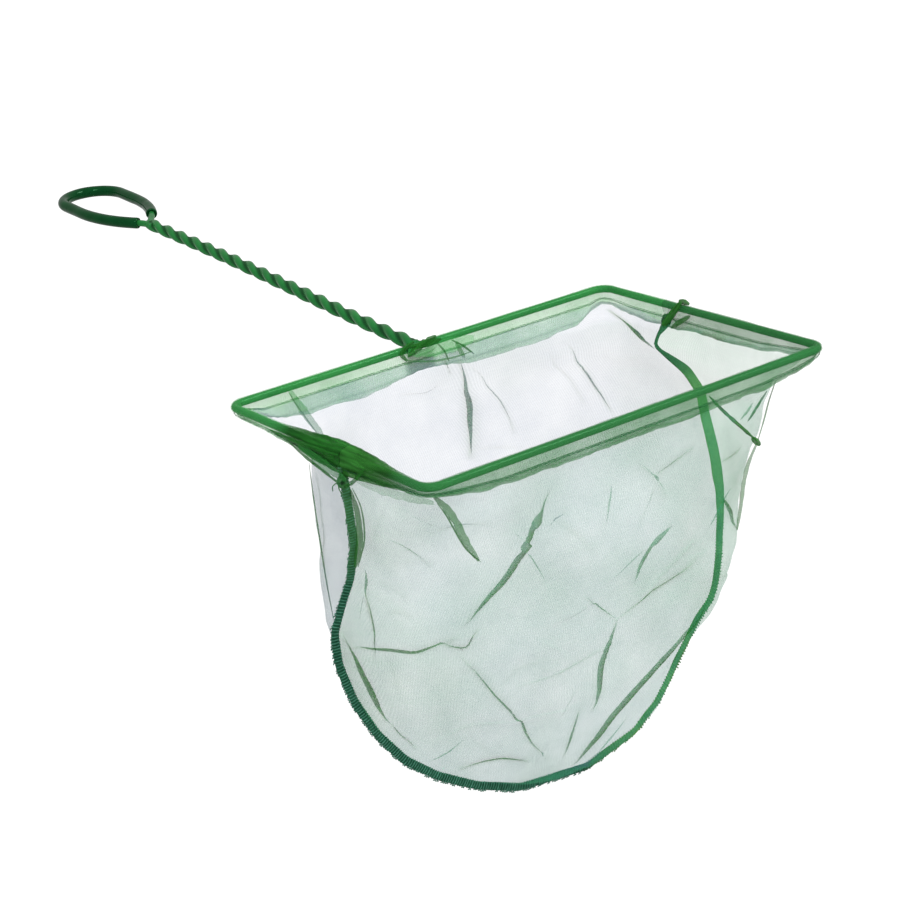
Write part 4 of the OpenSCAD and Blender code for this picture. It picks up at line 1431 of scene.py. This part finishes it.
def sewing_tree(name):
    """Lays stitches along a line at an even pitch: X along it, Y as near as can be to a given way."""
    tree = bpy.data.node_groups.new(name, "GeometryNodeTree")
    face = tree.interface
    face.new_socket("Geometry", in_out="OUTPUT", socket_type="NodeSocketGeometry")
    face.new_socket("Line", in_out="INPUT", socket_type="NodeSocketGeometry")
    sockets = {}
    for label, kind in (("Stitch", "Object"), ("Pitch", "Float"), ("Sideways", "Vector"),
                        ("Uneven", "Float"), ("Thread", "Material")):
        sockets[label] = face.new_socket(label, in_out="INPUT", socket_type="NodeSocket" + kind).identifier

    def node(kind, settings=None, inputs=None):
        return add_node(tree, kind, settings, inputs)

    start = node("NodeGroupInput")
    line = node("GeometryNodeResampleCurve", {"mode": "LENGTH"},
                {"Curve": start.outputs["Line"], "Length": start.outputs["Pitch"]})
    along = node("GeometryNodeInputTangent")
    first = node("FunctionNodeAlignRotationToVector", {"axis": "X"}, {"Vector": along.outputs[0]})
    second = node("FunctionNodeAlignRotationToVector", {"axis": "Y", "pivot_axis": "X"},
                  {"Rotation": first.outputs[0], "Vector": start.outputs["Sideways"]})
    stitch = node("GeometryNodeObjectInfo", {}, {"Object": start.outputs["Stitch"]})
    low, high = (node("ShaderNodeMath", {"operation": operation}, {0: 1.0, 1: start.outputs["Uneven"]})
                 for operation in ("SUBTRACT", "ADD"))
    size = node("FunctionNodeRandomValue", {"data_type": "FLOAT"},
                {2: low.outputs[0], 3: high.outputs[0], "Seed": 4})
    laid = node("GeometryNodeInstanceOnPoints", {}, {
        "Points": line.outputs[0], "Instance": stitch.outputs["Geometry"], "Rotation": second.outputs[0],
        "Scale": size.outputs[1]})
    real = node("GeometryNodeRealizeInstances", {}, {0: laid.outputs[0]})
    dyed = node("GeometryNodeSetMaterial", {},
                {"Geometry": real.outputs[0], "Material": start.outputs["Thread"]})
    node("NodeGroupOutput", {}, {0: dyed.outputs[0]})
    return tree, sockets


SEWING, SEWING_SOCKETS = sewing_tree("sewing")
# Gap between hem stitches, how unlike in size stitches are, and how far from the handle's foot they stop
HEM_PITCH = 2.9
STITCH_UNEVEN = 0.14
FORK_CLEAR = FORK_X + 1.5


def sew(name, lines, stitch, pitch, sideways, thread, replaced):
    """Stitches along lines, as one plain mesh."""
    curve = bpy.data.curves.new(name + "_line", "CURVE")
    curve.dimensions = "3D"
    for line in lines:
        spline = curve.splines.new("POLY")
        spline.points.add(len(line) - 1)
        spline.points.foreach_set("co", np.c_[in_row(line), np.ones(len(line))].ravel())
    guide = add_object(name + "_line", curve)
    points, faces = stitch
    pattern = add_object(name + "_pattern", new_mesh(name + "_pattern", points * MM, faces))
    modifier = guide.modifiers.new("sewing", "NODES")
    modifier.node_group = SEWING
    for label, value in (("Stitch", pattern), ("Pitch", pitch * MM), ("Sideways", sideways),
                         ("Uneven", STITCH_UNEVEN), ("Thread", thread)):
        modifier[SEWING_SOCKETS[label]] = value
    bpy.context.view_layer.update()
    mesh = evaluated_mesh(guide)
    guide.modifiers.remove(modifier)
    bpy.data.objects.remove(guide)
    bpy.data.objects.remove(pattern)
    mesh.name = name
    mesh.polygons.foreach_set("use_smooth", [True] * len(mesh.polygons))
    mark_gathered_and_shade(mesh, covered_share((vertex_places(mesh) - HOOP_CENTRE) / MM))
    return dress(add_object(name, mesh), replaced)


# How far outward from the wire the outer and the inner face are stitched, where plain and where rolled up
OUTER_FACE = 0.95, 3.4
INNER_FACE = -0.7, -2.2


def hem_lines(start, end):
    """The stitching line on the outer and the inner face of the hem."""
    at = np.linspace(start, end, int((end - start) / 1.5))
    place, out = rim(at)
    depth = stitch_depth(at)
    roll = roll_share(at)
    return [np.c_[place + out * mix(*face, roll)[:, None], -depth] for face in (OUTER_FACE, INNER_FACE)]


KNOT_TURNS = 6
KNOT_THREAD_R = 0.5
TAIL_THREAD_R = 0.32
TAIL_LEN = 4.5


def make_knot(name, centre, out, replaced, seed):
    """A thread tack: turns of thread pulled tight round the end of the seam, and its two cut tails."""
    draw = np.random.default_rng(seed)
    side = np.array([-out[1], out[0], 0])
    up = np.array([0, 0, 1])
    parts = []
    for _ in range(KNOT_TURNS):
        tilt, shift = draw.uniform(-0.6, 0.6), draw.uniform(-1.4, 1.4)
        turn = np.linspace(0, 2 * math.pi, 25)
        wide, tall = draw.uniform(1.6, 2.4), draw.uniform(1.9, 3.0)
        loop = (centre + np.outer(np.cos(turn) * wide, out) + np.outer(np.sin(turn) * tall, up)
                + np.outer(shift + tilt * np.sin(turn) * tall, side))
        parts.append(tube(loop, KNOT_THREAD_R, 7, tuple(side)))
    for way in (-1, 1):
        reach = np.linspace(0, 1, 12)[:, None]
        curl = out * (1.5 + np.sin(reach * 2.4) * 2.2)
        tail = centre + curl + side * way * reach * TAIL_LEN - up * reach ** 2 * 5
        parts.append(tube(tail, TAIL_THREAD_R * (1 - 0.3 * reach[:, 0]), 6, tuple(up)))
    points, faces = join(parts)
    mesh_piece(name, points, faces, EDGE_THREAD, replaced, values=covered_share(points))


# Set

# Each lamp's strength and the way it stands from the net, and how wide both look from there
LAMPS = [("left lamp", 1.1, (-0.45, -0.72, 0.85)), ("right lamp", 0.9, (0.52, -0.50, 0.70))]
LAMP_ANGLE = 0.35
# The surround lights the net less brightly than it shows to the camera
LIT_STRENGTH = 0.45
SHOWN_STRENGTH = 1.0
# How bright the floor looks to the camera, how far it reaches and how far below the hoop it lies
FLOOR_GLOW = 0.58
FLOOR_REACH = 9.0
FLOOR_DROP = 0.42


def make_stage():
    """A pale floor that shows white to the camera and keeps the net's shadow, and a white surround."""
    made = Finish("pale floor")
    path = made.add("LightPath", output="Is Camera Ray")
    matte = made.add("BsdfDiffuse", {}, {"Color": (0.6, 0.6, 0.6, 1)})
    white = made.add("Emission", {}, {"Color": (1, 1, 1, 1), "Strength": FLOOR_GLOW})
    glow = made.add("MixShader", {}, {0: path, 1: made.add("Emission", {}, {"Strength": 0.0}), 2: white})
    material = made.done(made.add("AddShader", {}, {0: matte, 1: glow}))
    x, y, z = HOOP_CENTRE
    corners = [(x + FLOOR_REACH * a, y + FLOOR_REACH * b, z - FLOOR_DROP)
               for a, b in ((-1, -1), (1, -1), (1, 1), (-1, 1))]
    mesh = new_mesh("floor", corners, [(0, 1, 2, 3)])
    mesh.materials.append(material)
    floor = add_object("floor", mesh)

    world = bpy.data.worlds.new("surround")
    bpy.context.scene.world = world
    world.use_nodes = True
    tree = world.node_tree
    tree.nodes.clear()
    lit, shown = (add_node(tree, "ShaderNodeBackground", {}, {"Color": (1, 1, 1, 1), "Strength": strength})
                  for strength in (LIT_STRENGTH, SHOWN_STRENGTH))
    path = add_node(tree, "ShaderNodeLightPath")
    both = add_node(tree, "ShaderNodeMixShader", {}, {
        0: path.outputs["Is Camera Ray"], 1: lit.outputs[0], 2: shown.outputs[0]})
    add_node(tree, "ShaderNodeOutputWorld", {}, {0: both.outputs[0]})

    for name, energy, toward in LAMPS:
        light = bpy.data.lights.new(name, "SUN")
        light.energy, light.angle = energy, LAMP_ANGLE
        lamp = add_object(name, light)
        lamp.rotation_mode = "QUATERNION"
        lamp.rotation_quaternion = Vector(toward).to_track_quat("Z", "Y")


def set_picture():
    scene = bpy.context.scene
    scene.view_settings.view_transform = "Standard"
    scene.cycles.transparent_max_bounces = 64


def finish_cad_nodes():
    """The steel inside the coating keeps its CAD shape."""
    for name in ("hoop_wire", "left_strand", "right_strand", "loop_wire"):
        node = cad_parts[name]
        node.data.materials.clear()
        node.data.materials.append(STEEL)


make_stage()
set_picture()
finish_cad_nodes()
make_hoop_skin()
make_handle_skin()
make_loop_skin()
make_grip_sleeve()

front, back = Panel(front=True), Panel(front=False)
front_creases = photo_creases(front, FRONT_CREASES, far=False) + random_creases(front, count=16, seed=3)
front_mesh = make_panel("front_mesh", front, front_creases, ["front_panel"])
back_creases = photo_creases(back, BACK_CREASES, far=True) + random_creases(back, count=18, seed=8)
back_mesh = make_panel("back_mesh", back, back_creases, ["back_panel"])

front_hem = make_hem("front_hem", LEFT_TACK, RIGHT_TACK, HEM, ["front_casing"],
                     [cloth_rope(*rope) for rope in FRONT_ROPES + RIGHT_ROPES])
# The rear hem takes the hem mesh with painted light
rear_hem = make_hem("rear_hem", RIGHT_TACK, LEFT_TACK + RIM_LEN, LIGHTENED_REAR_HEM, ["rear_casing"],
                    [cloth_rope(*rope) for rope in REAR_ROPES + LEFT_ROPES + EDGE_ROPES])

make_seam_band()
seam_line = seam_path(SEAM_POINTS)
shown = seam_line[(seam_line[:, 0] < 20) | (seam_line[:, 2] < -OVERLOCK_TOP)]
sew("overlock_stitches", [shown], overlock_stitch(), OVERLOCK_PITCH, (0, -1, 0), STITCH_THREAD,
    ["seam_thread"])
fork_at = rim_place(FORK_PLACE, HALF_D)
front_stitches = sew("front_hem_stitches", hem_lines(LEFT_TACK, RIGHT_TACK),
                     lock_stitch(), HEM_PITCH, (0, 0, 1), HEM_THREAD, ["front_hem_thread"])
rear_stitches = sew("rear_hem_stitches",
                    hem_lines(RIGHT_TACK, fork_at - FORK_CLEAR)
                    + hem_lines(fork_at + FORK_CLEAR, LEFT_TACK + RIM_LEN),
                    lock_stitch(), HEM_PITCH, (0, 0, 1), HEM_THREAD, ["rear_hem_thread"])
for name, centre, way, replaced, seed in (
        ("left_knot", (-HALF_W - 4.0, LEFT_END_Y, -12.5), (-1.0, 0, 0), "left_tack", 2),
        ("right_knot", (HALF_W + 0.5, RIGHT_END_Y, -9.0), (1.0, 0, 0), "right_tack", 6)):
    make_knot(name, np.array(centre), np.array(way), [replaced], seed)
